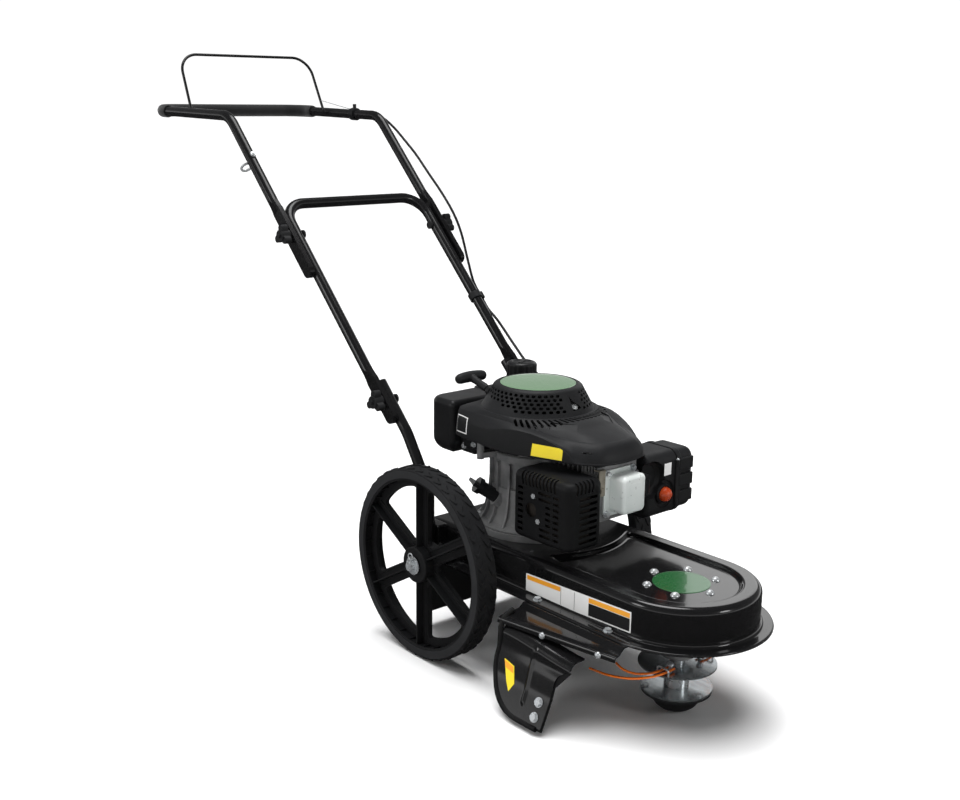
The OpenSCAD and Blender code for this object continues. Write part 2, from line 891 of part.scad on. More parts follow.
module crankcase() {
    color(cast)
        at_crank()
            difference() {
                union() {
                    translate([0, 0, seat])
                        cylinder(r = base_r, h = base_t - seat);
                    translate([0, 0, base_t])
                        cylinder(r1 = base_r - 24, r2 = case_r, h = 46);
                    translate([0, 0, base_t + 46])
                        cylinder(r = case_r, h = case_z - base_t - 46);
                    translate([0, -fin_w / 2 + 1, cyl_z - fin_w / 2])
                        cube([cyl_x0, fin_w - 2, case_z - 1 - cyl_z + fin_w / 2]);
                    rod(oil_foot, oil_foot + oil_axis * 24, oil_tube_d + 10);
                    for (p = shroud_feet) {
                        translate([0, 0, case_z - 12])
                            rotate(atan2(p.y, p.x))
                                translate([case_r - 8, -7, 0])
                                    cube([norm(p) - case_r + 8, 14, 10]);
                        translate([p.x, p.y, case_z - 14])
                            cylinder(d = 13, h = shroud_z - seat - case_z + 14);
                    }
                    translate([tank_x1 + seat, -14, case_z - 18])
                        cube([-tank_x1 - case_r + 8, 28, 12]);
                }
                translate([0, 0, -1])
                    cylinder(d = crank_d + 2 * running, h = case_z + 2);
                translate([0, 0, case_wall])
                    cylinder(r = case_r - case_wall, h = case_z - 2 * case_wall);
                translate([0, 0, cyl_z])
                    rotate([0, 90, 0])
                        cylinder(d = bore_d, h = case_r + 10);
                engine_bolt_ring()
                    translate([0, 0, -1])
                        cylinder(d = bolt_d + 2 * seat, h = base_t + 2);
                rod(oil_foot + oil_axis * 8, oil_mouth, oil_tube_d + 2 * seat);
            }
}

module cylinder_block() {
    x0 = cyl_x0 + seat;
    pitch = (cyl_x1 - x0 - fin_t) / (fin_count - 1);
    translate([x0, 0, cyl_z])
        rotate([0, 90, 0])
            cylinder(d = bore_d + 16, h = cyl_x1 - x0);
    for (k = [0:fin_count - 1])
        translate([x0 + k * pitch, -fin_w / 2, cyl_z - fin_w / 2])
            cube([fin_t, fin_w, fin_w]);
}

module engine_cylinder() {
    color(cast)
        at_crank()
            difference() {
                cylinder_block();
                translate([0, 0, cyl_z])
                    rotate([0, 90, 0])
                        cylinder(d = bore_d, h = rocker_x);
            }
}

module cylinder_head() {
    w = fin_w - 4;
    color(cast)
        at_crank()
            difference() {
                union() {
                    translate([cyl_x1 + seat, -w / 2, cyl_z - w / 2])
                        cube([head_l - seat, w, w]);
                    plug_place()
                        translate([0, 0, -head_l + 4])
                            cylinder(d = plug_d + 8, h = head_l - 4);
                }
                for (k = [0:3])
                    translate([cyl_x1 + 6 + k * 7, -w, cyl_z + w / 2 - 12])
                        cube([3.5, 2 * w, 20]);
                plug_place()
                    cylinder(d = plug_d + 2 * seat, h = 2 * plug_seat, center = true);
            }
}

module rocker_cover() {
    inset = 7;
    color(zinc)
        at_crank()
            translate([rocker_x, 0, cyl_z]) {
                along_x(0, 3)
                    translate([-rocker_w / 2, -rocker_h / 2])
                        rounded_plan(rocker_w, rocker_h, 9);
                along_x(0, rocker_l - 6)
                    translate([-rocker_w / 2 + inset, -rocker_h / 2 + inset])
                        rounded_plan(rocker_w - 2 * inset, rocker_h - 2 * inset, 8);
                along_x(0, rocker_l)
                    translate([-rocker_w / 2 + 2 * inset, -rocker_h / 2 + 2 * inset])
                        rounded_plan(rocker_w - 4 * inset, rocker_h - 4 * inset, 6);
            }
}

module plug_place() {
    translate([cyl_x1 + head_l, rocker_w / 2 + 11, cyl_z + 18])
        rotate([0, 90, 0])
            children();
}

// Spark plug with its boot
module spark_plug() {
    color(black)
        at_crank()
            plug_place() {
                translate([0, 0, -plug_seat + seat])
                    cylinder(d = plug_d, h = 24);
                translate([0, 0, 4])
                    cylinder(d = plug_d + 2, h = 26);
                translate([0, 0, 24])
                    rotate([0, 90, 0])
                        cylinder(d = plug_d, h = 26);
            }
}

module muffler() {
    color("#4a4542")
        at_crank() {
            translate([guard_x + muffler_gap, guard_y + muffler_gap, guard_z + muffler_gap])
                linear_extrude(height = guard_h - 2 * muffler_gap)
                    rounded_plan(guard_l - 2 * muffler_gap, guard_w - muffler_gap - 8, 14);
            translate([cyl_x1 + head_l / 2, guard_y + guard_w - 10, cyl_z - 10])
                rotate([-90, 0, 0])
                    cylinder(d = 24, h = -fin_w / 2 + 2 - seat - guard_y - guard_w + 10);
        }
}

// Row of slots through a wall: count slots, step apart
module slot_row(count, step, size) {
    for (k = [0:count - 1])
        translate([0, 0, k * step])
            cube(size);
}

module muffler_guard() {
    g = guard_t;
    color(black)
        at_crank()
            translate([guard_x, guard_y, guard_z])
                difference() {
                    linear_extrude(height = guard_h)
                        rounded_plan(guard_l, guard_w, 18);
                    translate([g, g, g])
                        linear_extrude(height = guard_h - 2 * g)
                            rounded_plan(guard_l - 2 * g, guard_w - 2 * g, 16);
                    translate([12, guard_w - 20, 12])
                        cube([guard_l - 24, 40, guard_h - 24]);
                    translate([14, -1, 16])
                        slot_row(7, 12, [20, 8, 4.5]);
                    translate([guard_l - 52, -1, 16])
                        slot_row(7, 12, [34, 8, 4.5]);
                    translate([guard_l - 8, 20, 20])
                        slot_row(8, 10.5, [16, 42, 5]);
                    for (k = [0:9])
                        translate([22 + k * 9.5, -1, guard_h - 7])
                            cube([5, 16, 12]);
                    translate([46, 0, 50])
                        rotate([90, 0, 0])
                            cylinder(d = 26, h = 20, center = true);
                    for (p = muffler_screw)
                        translate([p.x, 0, p.y])
                            rotate([90, 0, 0])
                                cylinder(d = 5 + 2 * seat, h = 20, center = true);
                }
}

// Carburettor behind the air box, with its manifold along the cylinder to the head's left
// side and the plate that holds the control cable
module carburettor() {
    y0 = fin_w / 2 + pass;
    y1 = air_y - pass;
    plate_z = cyl_z + 26;
    color("#9a9b9c")
        at_crank() {
            translate([air_x - 40, y0, cyl_z - 28])
                cube([cyl_x1 + head_l - air_x + 38, y1 - y0, 28]);
            translate([cyl_x1 + 4, fin_w / 2 - 2 + seat, cyl_z - 26])
                cube([head_l - 8, 6, 24]);
            translate([air_x - 44, y1 - 4, cyl_z - 14])
                cube([42, 42, 36]);
            translate([air_x - 23, y1 + 18, cyl_z - 44])
                cylinder(d = 38, h = 36);
            translate([air_x - 8, y1 + 18, cyl_z + 4])
                rotate([0, 90, 0])
                    cylinder(d = 32, h = 8 - seat);
            translate([air_x - 36, y1 + 6, cyl_z])
                cube([20, 20, 28]);
            translate([cable_end.x - crank_x + cable_d / 4, y1 + 2, plate_z])
                cube([air_x - 12 - cable_end.x + crank_x, 66, 3]);
            translate([cable_end.x - crank_x + cable_d / 4, cable_end.y - 8, plate_z])
                cube([4, 16, cable_end.z - deck_top - plate_z + 8]);
        }
}

module air_plan(grow) {
    translate([-grow, -grow])
        rounded_plan(air_l + 2 * grow, air_h + 2 * grow, air_r);
}

module air_box() {
    color(charcoal)
        at_crank()
            difference() {
                translate([air_x, 0, air_z])
                    along_y(air_y, air_y + air_split - seat)
                        air_plan(0);
                translate([air_x + 4, air_y + 4, air_z + 4])
                    cube([air_l - 24, air_split, air_h - 8]);
                translate([air_x + air_l, air_y + primer_y, air_z + primer_z])
                    rotate([0, 90, 0])
                        cylinder(d = primer_hole, h = 32, center = true);
            }
}

module air_box_cover() {
    y0 = air_y + air_split;
    color(black)
        at_crank()
            translate([air_x, 0, air_z])
                difference() {
                    union() {
                        along_y(y0, y0 + 12)
                            air_plan(1);
                        along_y(y0 + 11, air_y + air_w)
                            air_plan(-3);
                    }
                    along_y(y0 - 1, air_y + air_w - 4)
                        air_plan(-7);
                }
}

// Shroud: rounded lobes at the rear corners, over the flywheel and at the nose
module shroud_lobe(x, y, r, low, high, inset) {
    translate([x, y, shroud_z])
        cylinder(r = r, h = low, $fn = 32);
    translate([x, y, shroud_z])
        cylinder(r = r - inset, h = high, $fn = 32);
}

module shroud_form(wall) {
    x_rear = -shroud_rear + shroud_side_r;
    h = shroud_h - wall;
    hull() {
        for (side = [-1, 1])
            shroud_lobe(x_rear, side * 55, shroud_side_r - wall, h * 0.6, h, 11);
        shroud_lobe(shroud_mid_x, 0, shroud_mid_r - wall, h * 0.42, h, 20);
        shroud_lobe(shroud_nose_x, 0, shroud_nose_r - wall, h * 0.28, h * 0.66, 28);
    }
}

module blower_shroud() {
    color(charcoal)
        at_crank()
            difference() {
                shroud_form(0);
                translate([0, 0, -0.01])
                    shroud_form(shroud_t);
                cylinder(r = dome_hole_r, h = 2 * dome_z);
            }
}

// Starter cover: a dome with a post for the rope reel
module starter_cover() {
    foot = dome_d / 2;
    top = dome_top_d / 2;
    t = shroud_t - 0.5;
    color(black)
        at_crank()
            difference() {
                union() {
                    translate([0, 0, dome_z])
                        rotate_extrude()
                            polygon([[foot - 8, 0], [foot, 0], [foot, 4], [foot - 6, 12],
                                [top + 6, dome_h - 8], [top, dome_h - 2], [top - 4, dome_h],
                                [0, dome_h], [0, dome_h - t], [top - 5, dome_h - t],
                                [top + 2, dome_h - 10], [foot - 6 - 2 * t, 12], [foot - 8, 4]]);
                    translate([0, 0, reel_z])
                        cylinder(d = reel_post_d, h = dome_z + dome_h - t - reel_z + 0.5);
                }
                rod(pull_foot - pull_dir * 30, pull_foot + pull_dir * 30, rope_d + 2);
            }
}

module fuel_tank() {
    w = tank_w / 2;
    mid = tank_y0 + w;
    color(black)
        at_crank()
            difference() {
                union() {
                    translate([tank_x0, tank_y0, tank_z])
                        linear_extrude(height = tank_h)
                            difference() {
                                rounded_plan(tank_l + tank_r, tank_w, tank_r);
                                translate([tank_l, -1])
                                    square([2 * tank_r, tank_w + 2]);
                            }
                    translate([cap_x, cap_y, tank_z + tank_h - 1]) {
                        cylinder(d = fuel_cap_d + 4, h = boss_h + 1);
                        cylinder(d = fuel_cap_d - 12, h = boss_h + neck_h + 1);
                    }
                }
                translate([tank_x0 + shroud_t, tank_y0 + shroud_t, tank_z + shroud_t])
                    linear_extrude(height = tank_h - 2 * shroud_t)
                        rounded_plan(tank_l - 2 * shroud_t, tank_w - 2 * shroud_t, 12);
                translate([cap_x, cap_y, tank_z + tank_h - 2 * shroud_t])
                    cylinder(d = fuel_cap_d - 20, h = boss_h + neck_h + 3 * shroud_t);
                translate([tank_x0 - 1, mid - 14, tank_z + tank_h - 6])
                    cube([20, 28, 10]);
            }
}

module fuel_cap() {
    color(black)
        at_crank()
            translate([cap_x, cap_y, tank_z + tank_h + boss_h + seat])
                difference() {
                    union() {
                        cylinder(d = fuel_cap_d - 3, h = cap_h - 2);
                        cylinder(d = fuel_cap_d - 12, h = cap_h);
                        for (a = [0:20:340])
                            rotate(a)
                                translate([fuel_cap_d / 2 - 4, -2, 2])
                                    cube([4, 4, cap_h - 6]);
                    }
                    translate([0, 0, -1])
                        cylinder(d = fuel_cap_d - 12 + 2 * pass, h = neck_h + 1 + pass);
                }
}

module oil_tube() {
    color(charcoal)
        at_crank()
            difference() {
                rod(oil_foot + oil_axis * (8 + seat), oil_mouth, oil_tube_d);
                rod(oil_foot, oil_mouth + oil_axis, oil_tube_d - 6);
            }
}

// Oil filler cap with its dipstick
module oil_cap() {
    color(black)
        at_crank() {
            rod(oil_mouth + oil_axis * pass, oil_mouth + oil_axis * 10, oil_cap_d);
            rod(oil_mouth - oil_axis * 34, oil_mouth + oil_axis * 4, 8);
            translate(oil_mouth + oil_axis * 9)
                rotate([0, acos(oil_axis.z), atan2(oil_axis.y, oil_axis.x)])
                    translate([-3, -oil_cap_d / 2 - 3, 0])
                        cube([6, oil_cap_d + 6, 12]);
        }
}

module primer_bulb() {
    color("#d8481f")
        at_crank()
            translate([air_x + air_l, air_y + primer_y, air_z + primer_z])
                rotate([0, 90, 0])
                    difference() {
                        union() {
                            translate([0, 0, -5])
                                cylinder(d = primer_d, h = 7);
                            translate([0, 0, 2])
                                sphere(d = primer_d);
                        }
                        translate([0, 0, -25])
                            cylinder(d = 2 * primer_d, h = 20);
                    }
}

// Bolts of the engine base, rocker cover and muffler guard
module engine_bolts() {
    color(zinc)
        at_crank() {
            engine_bolt_ring()
                translate([0, 0, base_t + seat])
                    hex_bolt(bolt_d * 1.5, 6, bolt_d, base_t + 22);
            for (p = muffler_screw)
                translate([guard_x + p.x, guard_y - seat, guard_z + p.y])
                    rotate([90, 0, 0])
                        hex_bolt(8, 4, 5, muffler_gap - 2 * seat);
        }
}

// Rotating engine pieces

module crankshaft() {
    color(zinc)
        at_crank() {
            translate([0, 0, belt_z - deck_top - 16])
                cylinder(d = crank_d, h = flywheel_z + flywheel_h + 12 - belt_z + deck_top + 16);
            translate([0, 0, cyl_z - 26])
                cylinder(r = case_r - case_wall - 8, h = 12);
            translate([0, 0, flywheel_z + flywheel_h + seat])
                cylinder(d = crank_d * 1.5, h = 9, $fn = 6);
        }
}

module flywheel() {
    color(cast)
        at_crank()
            translate([0, 0, flywheel_z])
                difference() {
                    union() {
                        cylinder(r = flywheel_r, h = 14);
                        cylinder(r = 30, h = flywheel_h);
                        for (a = [0:20:340])
                            rotate(a)
                                translate([46, -1.5, 10])
                                    cube([flywheel_r - 50, 3, flywheel_h - 10]);
                    }
                    translate([0, 0, -1])
                        cylinder(d = crank_d + 2 * seat, h = flywheel_h + 2);
                }
}

module pulley(r, bore) {
    h = groove_w / 2;
    translate([0, 0, belt_z])
        difference() {
            rotate_extrude()
                polygon([[0, -h - flange_t], [r + 4, -h - flange_t], [r + 4, -h],
                    [r - belt_in - pass, -h], [r - belt_in - pass, h], [r + 4, h],
                    [r + 4, h + flange_t], [0, h + flange_t]]);
            cylinder(d = bore + 2 * seat, h = 4 * groove_w, center = true);
        }
}

module drive_pulley() {
    color(zinc)
        translate([crank_x, 0, 0])
            pulley(drive_r, crank_d);
}

module driven_pulley() {
    color(zinc)
        pulley(driven_r, spindle_d);
}

// Loop round the two pulleys at radius drive_r + out and driven_r + out
module belt_plan(out) {
    lean = acos((driven_r - drive_r) / crank_x);
    polygon(concat(arc([0, 0], driven_r + out, -lean, lean, 36),
        arc([crank_x, 0], drive_r + out, lean, 360 - lean, 36)));
}

module v_belt() {
    color("#18181a")
        translate([0, 0, belt_z - belt_w / 2])
            linear_extrude(height = belt_w)
                difference() {
                    belt_plan(belt_out);
                    belt_plan(-belt_in);
                }
}

// String head

module spindle_shaft() {
    top = belt_z + groove_w / 2 + flange_t;
    color(zinc) {
        translate([0, 0, lower_plate_z])
            cylinder(d = spindle_d, h = top + 12 - lower_plate_z);
        translate([0, 0, top + seat])
            cylinder(d = spindle_d * 1.5 / cos(30), h = 8, $fn = 6);
        translate([0, 0, lower_plate_z + plate_t + seat])
            cylinder(d = head_hub_d, h = upper_plate_z - lower_plate_z - 2 * (plate_t + seat));
        translate([0, 0, upper_plate_z + seat])
            cylinder(d = spindle_d + 5, h = barrel_z - upper_plate_z - pass);
    }
}

module head_plate(d, z) {
    translate([0, 0, z])
        difference() {
            cylinder(d = d, h = plate_t);
            translate([0, 0, -1])
                cylinder(d = spindle_d + 2 * seat, h = plate_t + 2);
            translate([0, 0, -1])
                children();
        }
}

module line_post_pair() {
    both_sides()
        translate([line_x, line_post_y, 0])
            children();
}

module glide_screw_ring() {
    for (a = [-5, 115, 235])
        rotate(a)
            translate([glide_screw_r, 0, 0])
                children();
}

module head_plates() {
    color(zinc) {
        head_plate(upper_plate_d, upper_plate_z - plate_t)
            line_post_pair()
                cylinder(d = line_post_d + 2 * seat, h = plate_t + 2);
        head_plate(lower_plate_d, lower_plate_z)
            glide_screw_ring()
                cylinder(d = glide_screw_d + 2 * seat, h = plate_t + 2);
    }
}

// Posts and staples that hold the lines on the upper plate, and the screws of the glide
module head_fittings() {
    y = staple_y;
    x0 = line_x - staple_w / 2;
    x1 = line_x + staple_w / 2;
    z0 = upper_plate_z + seat;
    z1 = upper_plate_z + staple_h;
    color(zinc) {
        line_post_pair() {
            translate([0, 0, upper_plate_z - plate_t - 6])
                cylinder(d = line_post_d, h = plate_t + 20);
            translate([0, 0, upper_plate_z + 11])
                cylinder(d = 2 * line_post_d, h = 3);
            translate([0, 0, upper_plate_z - plate_t - seat - 4])
                cylinder(d = 2 * line_post_d, h = 4, $fn = 6);
        }
        both_sides()
            bent_bar([[x0, y, z0], [x0, y, z1], [x1, y, z1], [x1, y, z0]], [5, 5], staple_d);
        glide_screw_ring() {
            translate([0, 0, lower_plate_z - glide_rim + seat])
                cylinder(d = glide_screw_d, h = glide_rim + plate_t + 1);
            translate([0, 0, lower_plate_z + plate_t + seat])
                cylinder(d = 2 * glide_screw_d, h = 3);
        }
    }
}

// Domed glide that slides on the ground
module glide() {
    h = lower_plate_z - seat;
    w = glide_r - glide_flat;
    foot = h - glide_rim;
    color(black)
        difference() {
            rotate_extrude()
                polygon(concat([[0, 0], [glide_flat, 0]],
                    [for (k = [1:6]) [glide_flat + w * sin(k * 15), foot * (1 - cos(k * 15))]],
                    [[lower_plate_d / 2 - 1, foot], [lower_plate_d / 2 - 1, h], [0, h]]));
            glide_screw_ring()
                translate([0, 0, foot - 1])
                    cylinder(d = glide_screw_d + 2 * seat, h = h);
        }
}

// Two lines, each folded round its post, so that two ends leave each side of the head
module trimmer_lines() {
    side = line_post_d / 2 + line_d / 2 + seat;
    x0 = line_x - side;
    x1 = line_x + side;
    y = line_post_y - 4;
    color(orange)
        both_sides() {
            swept(route(concat([[x1, y, line_z], [x1, staple_y, line_z]], line_long), 3),
                line_d, 8, [0, 0, 1]);
            swept(route(concat([[x0, y, line_z], [x0, staple_y, line_z]], line_short), 3),
                line_d, 8, [0, 0, 1]);
        }
}

// Handle

// Flattened tube from s0 to s1 up the slope, at distance y from the centre plane
module flat_bar(s0, s1, y) {
    along_y(y - flat_t / 2, y + flat_t / 2) {
        a = on_handle(s0, 0);
        b = on_handle(s1, 0);
        for (p = [a, b])
            translate([p.x, p.z])
                circle(d = flat_w);
        translate([a.x, a.z])
            rotate(180 - handle_angle)
                translate([0, -flat_w / 2])
                    square([s1 - s0, flat_w]);
    }
}

// Place up the slope: x up the slope, z away from the operator's side
module at_slope(s, y) {
    translate(on_handle(s, y))
        rotate([0, 180 + handle_angle, 0])
            children();
}

// Wedges off the sides of a tube's end, where it is pressed flat
module cheeks(s, y) {
    at_slope(s, y)
        both_sides()
            linear_extrude(height = 2 * tube_d, center = true)
                polygon([[-5, flat_t / 2 - 0.4], [blend_l, tube_d / 2 + 1], [-5, tube_d / 2 + 1]]);
}

// Flattened end from s0 to s1, with the shoulder where it widens from the round tube
module flat_end(s0, s1, y) {
    w = tube_d / 2 - 2;
    flat_bar(s0, s1, y);
    at_slope(s1, y)
        rotate([90, 0, 0])
            linear_extrude(height = flat_t - 0.4, center = true)
                polygon([[-2, 0.2 - flat_w / 2], [blend_l + 6, -w], [blend_l + 6, w],
                    [-2, flat_w / 2 - 0.2]]);
}

module stud_hole(s, y) {
    translate(on_handle(s, y))
        rotate([90, 0, 0])
            cylinder(d = stud_d + 2 * running, h = 3 * tube_d, center = true);
}

module lower_leg() {
    p = [on_handle(leg_top, leg_y), [leg_knee.x, leg_y, leg_knee.y],
        [leg_ankle.x, leg_y, leg_ankle.y], [leg_x, leg_y, leg_flat_z]];
    difference() {
        union() {
            bent_bar(p, [90, 60], tube_d);
            along_y(leg_y - flat_t / 2, leg_y + flat_t / 2) {
                for (z = [leg_foot_z, leg_flat_z])
                    translate([leg_x, z])
                        circle(d = flat_w);
                translate([leg_x - flat_w / 2, leg_foot_z])
                    square([flat_w, leg_flat_z - leg_foot_z]);
            }
        }
        stud_hole(0, leg_y);
        leg_bolt_holes(bolt_d + 2 * seat);
    }
}

module lower_legs() {
    color(black)
        both_sides()
            lower_leg();
}

module middle_handle() {
    a = on_handle(mid_flat, mid_y);
    b = on_handle(mid_reach, mid_y);
    color(black)
        difference() {
            union() {
                difference() {
                    bent_bar([flip_y(a), flip_y(b), b, a], [mid_bend, mid_bend], tube_d);
                    both_sides()
                        cheeks(mid_flat, mid_y);
                }
                both_sides()
                    flat_end(-mid_tail, mid_flat, mid_y);
            }
            both_sides() {
                stud_hole(0, mid_y);
                stud_hole(pivot_span, mid_y);
            }
        }
}

// Clip that holds the cable on the middle handle's left tube
module cable_clip() {
    a = on_handle(clip_s - clip_l / 2, mid_y);
    b = on_handle(clip_s + clip_l / 2, mid_y);
    out = [0, clip_y - mid_y, 0];
    color(black)
        difference() {
            union() {
                rod(a, b, tube_d + 6);
                rod(a + out, b + out, cable_d + 7);
            }
            rod(a - slope_dir, b + slope_dir, tube_d + 2 * seat);
            rod(a + out - slope_dir * 9, b + out + slope_dir * 9, cable_d + 3);
        }
}

function top_point(x, y) = [x, y, bar_z - top_rise * (x - bar_x) / top_len];

module upper_handle() {
    s = pivot_span + upper_flat;
    a = on_handle(s, upper_y);
    b = on_handle(bend_s, upper_y);
    c = top_point(bar_x, upper_y);
    color(black)
        difference() {
            union() {
                difference() {
                    bent_bar([flip_y(a), flip_y(b), flip_y(c), c, b, a],
                        [upper_bend, corner_r, corner_r, upper_bend], tube_d);
                    both_sides()
                        cheeks(s, upper_y);
                }
                both_sides()
                    flat_end(pivot_span - upper_tail, s, upper_y);
            }
            both_sides() {
                stud_hole(pivot_span, upper_y);
                translate([bail_x, bail_y, bail_z])
                    rotate([-90, 0, 0])
                        cylinder(d = bail_d + 2 * running, h = upper_y + bail_pin / 2 - bail_y);
            }
            at_slope(eye_s, -upper_y)
                cylinder(d = eye_d + 2 * seat, h = 2 * tube_d, center = true);
        }
}

// Foam sleeve over the crossbar and round both corners
module grip() {
    a = top_point(bar_x + grip_side, upper_y);
    b = top_point(bar_x + grip_side + 5, upper_y);
    c = top_point(bar_x, upper_y);
    color("#141415")
        difference() {
            bent_bar([flip_y(a), flip_y(c), c, a], [corner_r, corner_r], grip_d);
            bent_bar([flip_y(b), flip_y(c), c, b], [corner_r, corner_r], tube_d + 2 * seat);
        }
}

// Clamp on the upper handle's left tube that ends the cable's sheath
module cable_stop() {
    a = top_point(stop_x - stop_l / 2, upper_y);
    b = top_point(stop_x + stop_l / 2, upper_y);
    u = unit(b - a);
    color(zinc)
        difference() {
            union() {
                rod(a, b, tube_d + 7);
                translate([stop_x, upper_y, a.z + tube_d / 2])
                    cylinder(d = 8, h = 12);
                translate([stop_x - stop_l / 2, upper_y + 12, a.z - 7])
                    cube([stop_l, 12, 14]);
            }
            rod(a - 2 * u, b + 2 * u, tube_d + 2 * seat);
            rod(cable_start - wire_dir * 50, cable_start + wire_dir * 5, cable_d - 2);
        }
}

// Eye bolt that guides the starter rope
module rope_guide() {
    color(zinc)
        at_slope(eye_s, -upper_y) {
            translate([0, 0, -tube_d / 2 - 8])
                cylinder(d = eye_d, h = tube_d + 13);
            translate([0, 0, -tube_d / 2 - 5])
                cylinder(d = 2 * eye_d, h = 5 - seat, $fn = 6);
            translate([0, 0, tube_d / 2 + 5 + eye_r])
                rotate([0, 90, 0])
                    rotate_extrude()
                        translate([eye_r, 0])
                            circle(d = eye_d - 0.6);
        }
}

module cable_upper() {
    color("#101011")
        swept(route(cable_upper_route, 3), cable_d, 8, [0, 1, 0]);
}

module cable_lower() {
    color("#101011")
        swept(route(cable_lower_route, 3), cable_d, 8, [0, 1, 0]);
}

// Bail rod, with its feet turned out into the upper handle's tubes
module bail() {
    a = [bail_x, upper_y - tube_d / 2 + bail_pin, bail_z];
    b = [bail_x, bail_y, bail_z];
    c = [bail_top.x, bail_y - bail_splay, bail_top.y];
    color("#232426")
        bent_bar([flip_y(a), flip_y(b), flip_y(c), c, b, a],
            [bail_d, bail_r, bail_r, bail_d], bail_d);
}

// Inner wire from the bail to the cable's end
module bail_wire() {
    color(zinc)
        rod(wire_start, cable_start - wire_dir * pass, 1.6);
}

// Wing knob with its stud through a pair of handle tubes
module clamp_knob(s, inner_y, outer_y, side) {
    head_y = inner_y - tube_d / 2 - 4 - pass;
    seat_y = outer_y + flat_t / 2 + pass;
    place = on_handle(s, 0);
    color(black)
        translate([place.x, 0, place.z])
            mirror([0, side < 0 ? 1 : 0, 0])
                rotate([-90, 0, 0]) {
                    translate([0, 0, head_y])
                        cylinder(d = stud_d + 9, h = 4);
                    translate([0, 0, head_y])
                        cylinder(d = stud_d, h = seat_y + knob_h + 4 - head_y);
                    translate([0, 0, seat_y])
                        cylinder(d = 24, h = knob_h);
                    for (a = [30, 150, 270])
                        rotate(a) {
                            translate([0, -7, seat_y + 4])
                                cube([knob_d / 2 - 7, 14, knob_h - 6]);
                            translate([knob_d / 2 - 7, 0, seat_y + 4])
                                cylinder(d = 14, h = knob_h - 6);
                        }
                }
}

module knob_lower_right() {
    clamp_knob(0, leg_y, mid_y, -1);
}

module knob_lower_left() {
    clamp_knob(0, leg_y, mid_y, 1);
}

module knob_upper_right() {
    clamp_knob(pivot_span, mid_y, upper_y, -1);
}

module knob_upper_left() {
    clamp_knob(pivot_span, mid_y, upper_y, 1);
}

// Recoil starter

module recoil_handle() {
    a = pull_foot + pull_dir * 8;
    b = pull_foot + pull_dir * (8 + stem_l);
    side = [0, tee_l / 2 - tee_d / 2, 0];
    color(black)
        at_crank() {
            rod(a, b, stem_d);
            rod(b - side, b + side, tee_d);
            for (p = [b - side, b + side])
                translate(p)
                    sphere(d = tee_d);
        }
}

module starter_rope() {
    color("#d9d4c4")
        at_crank()
            rod(pull_foot - pull_dir * 12, pull_foot + pull_dir * (8 - seat), rope_d);
}

module starter_reel() {
    color(charcoal)
        at_crank()
            translate([0, 0, reel_z])
                difference() {
                    union() {
                        cylinder(r = reel_r - 6, h = reel_h);
                        cylinder(r = reel_r + 6, h = 2.5);
                        translate([0, 0, reel_h - 2.5])
                            cylinder(r = reel_r + 6, h = 2.5);
                    }
                    translate([0, 0, -1])
                        cylinder(d = reel_post_d + 2 * running, h = reel_h + 2);
                }
}

deck_shell();
axle();
axle_hardware();
rear_flap();
spindle_housing();
spindle_bearings();
deck_bolts();
guard_bracket();
debris_guard();
guard_flap();
lower_legs();
crankcase();
engine_cylinder();
cylinder_head();
rocker_cover();
spark_plug();
muffler();
muffler_guard();
carburettor();
air_box();
air_box_cover();
fuel_tank();
blower_shroud();
starter_cover();
oil_tube();
engine_bolts();
v_belt();
cable_lower();
wheel_right();
tyre_right();
wheel_left();
tyre_left();
crankshaft();
flywheel();
drive_pulley();
spindle_shaft();
driven_pulley();
head_plates();
head_fittings();
glide();
trimmer_lines();
middle_handle();
cable_clip();
upper_handle();
grip();
cable_stop();
rope_guide();
cable_upper();
bail();
bail_wire();
knob_lower_right();
knob_lower_left();
knob_upper_right();
knob_upper_left();
recoil_handle();
starter_rope();
starter_reel();
fuel_cap();
oil_cap();
primer_bulb();
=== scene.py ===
"""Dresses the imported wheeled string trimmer: finishes, moulded and pressed shapes, cords and stage."""

import json
import math

import bmesh
import bpy
from mathutils import Matrix, Vector


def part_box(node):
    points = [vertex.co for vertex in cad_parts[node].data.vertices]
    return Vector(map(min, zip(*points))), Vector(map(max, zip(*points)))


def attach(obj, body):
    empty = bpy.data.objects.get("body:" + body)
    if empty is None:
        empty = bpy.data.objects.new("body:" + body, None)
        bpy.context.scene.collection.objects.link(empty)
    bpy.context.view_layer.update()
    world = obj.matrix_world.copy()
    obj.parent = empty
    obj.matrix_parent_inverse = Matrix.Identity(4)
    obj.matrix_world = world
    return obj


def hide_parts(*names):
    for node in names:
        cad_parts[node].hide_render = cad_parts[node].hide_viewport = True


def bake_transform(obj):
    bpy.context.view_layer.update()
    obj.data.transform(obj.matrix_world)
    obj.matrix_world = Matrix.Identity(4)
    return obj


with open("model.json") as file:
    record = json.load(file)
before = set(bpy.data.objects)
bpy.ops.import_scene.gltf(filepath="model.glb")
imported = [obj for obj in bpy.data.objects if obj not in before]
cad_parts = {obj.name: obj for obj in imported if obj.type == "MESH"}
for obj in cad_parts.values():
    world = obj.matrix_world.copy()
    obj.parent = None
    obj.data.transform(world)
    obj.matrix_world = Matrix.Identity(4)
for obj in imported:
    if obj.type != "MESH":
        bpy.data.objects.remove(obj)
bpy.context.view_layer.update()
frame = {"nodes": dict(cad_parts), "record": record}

bl_info = {
    "name": "Wheeled string trimmer",
    "version": (1, 0, 0),
    "blender": (4, 5, 0),
    "location": "View3D > Sidebar > Trimmer",
    "description": "Builds the looks of a walk-behind string trimmer round its CAD frame",
    "category": "Object",
}

# Metres in a millimetre
MM = 0.001

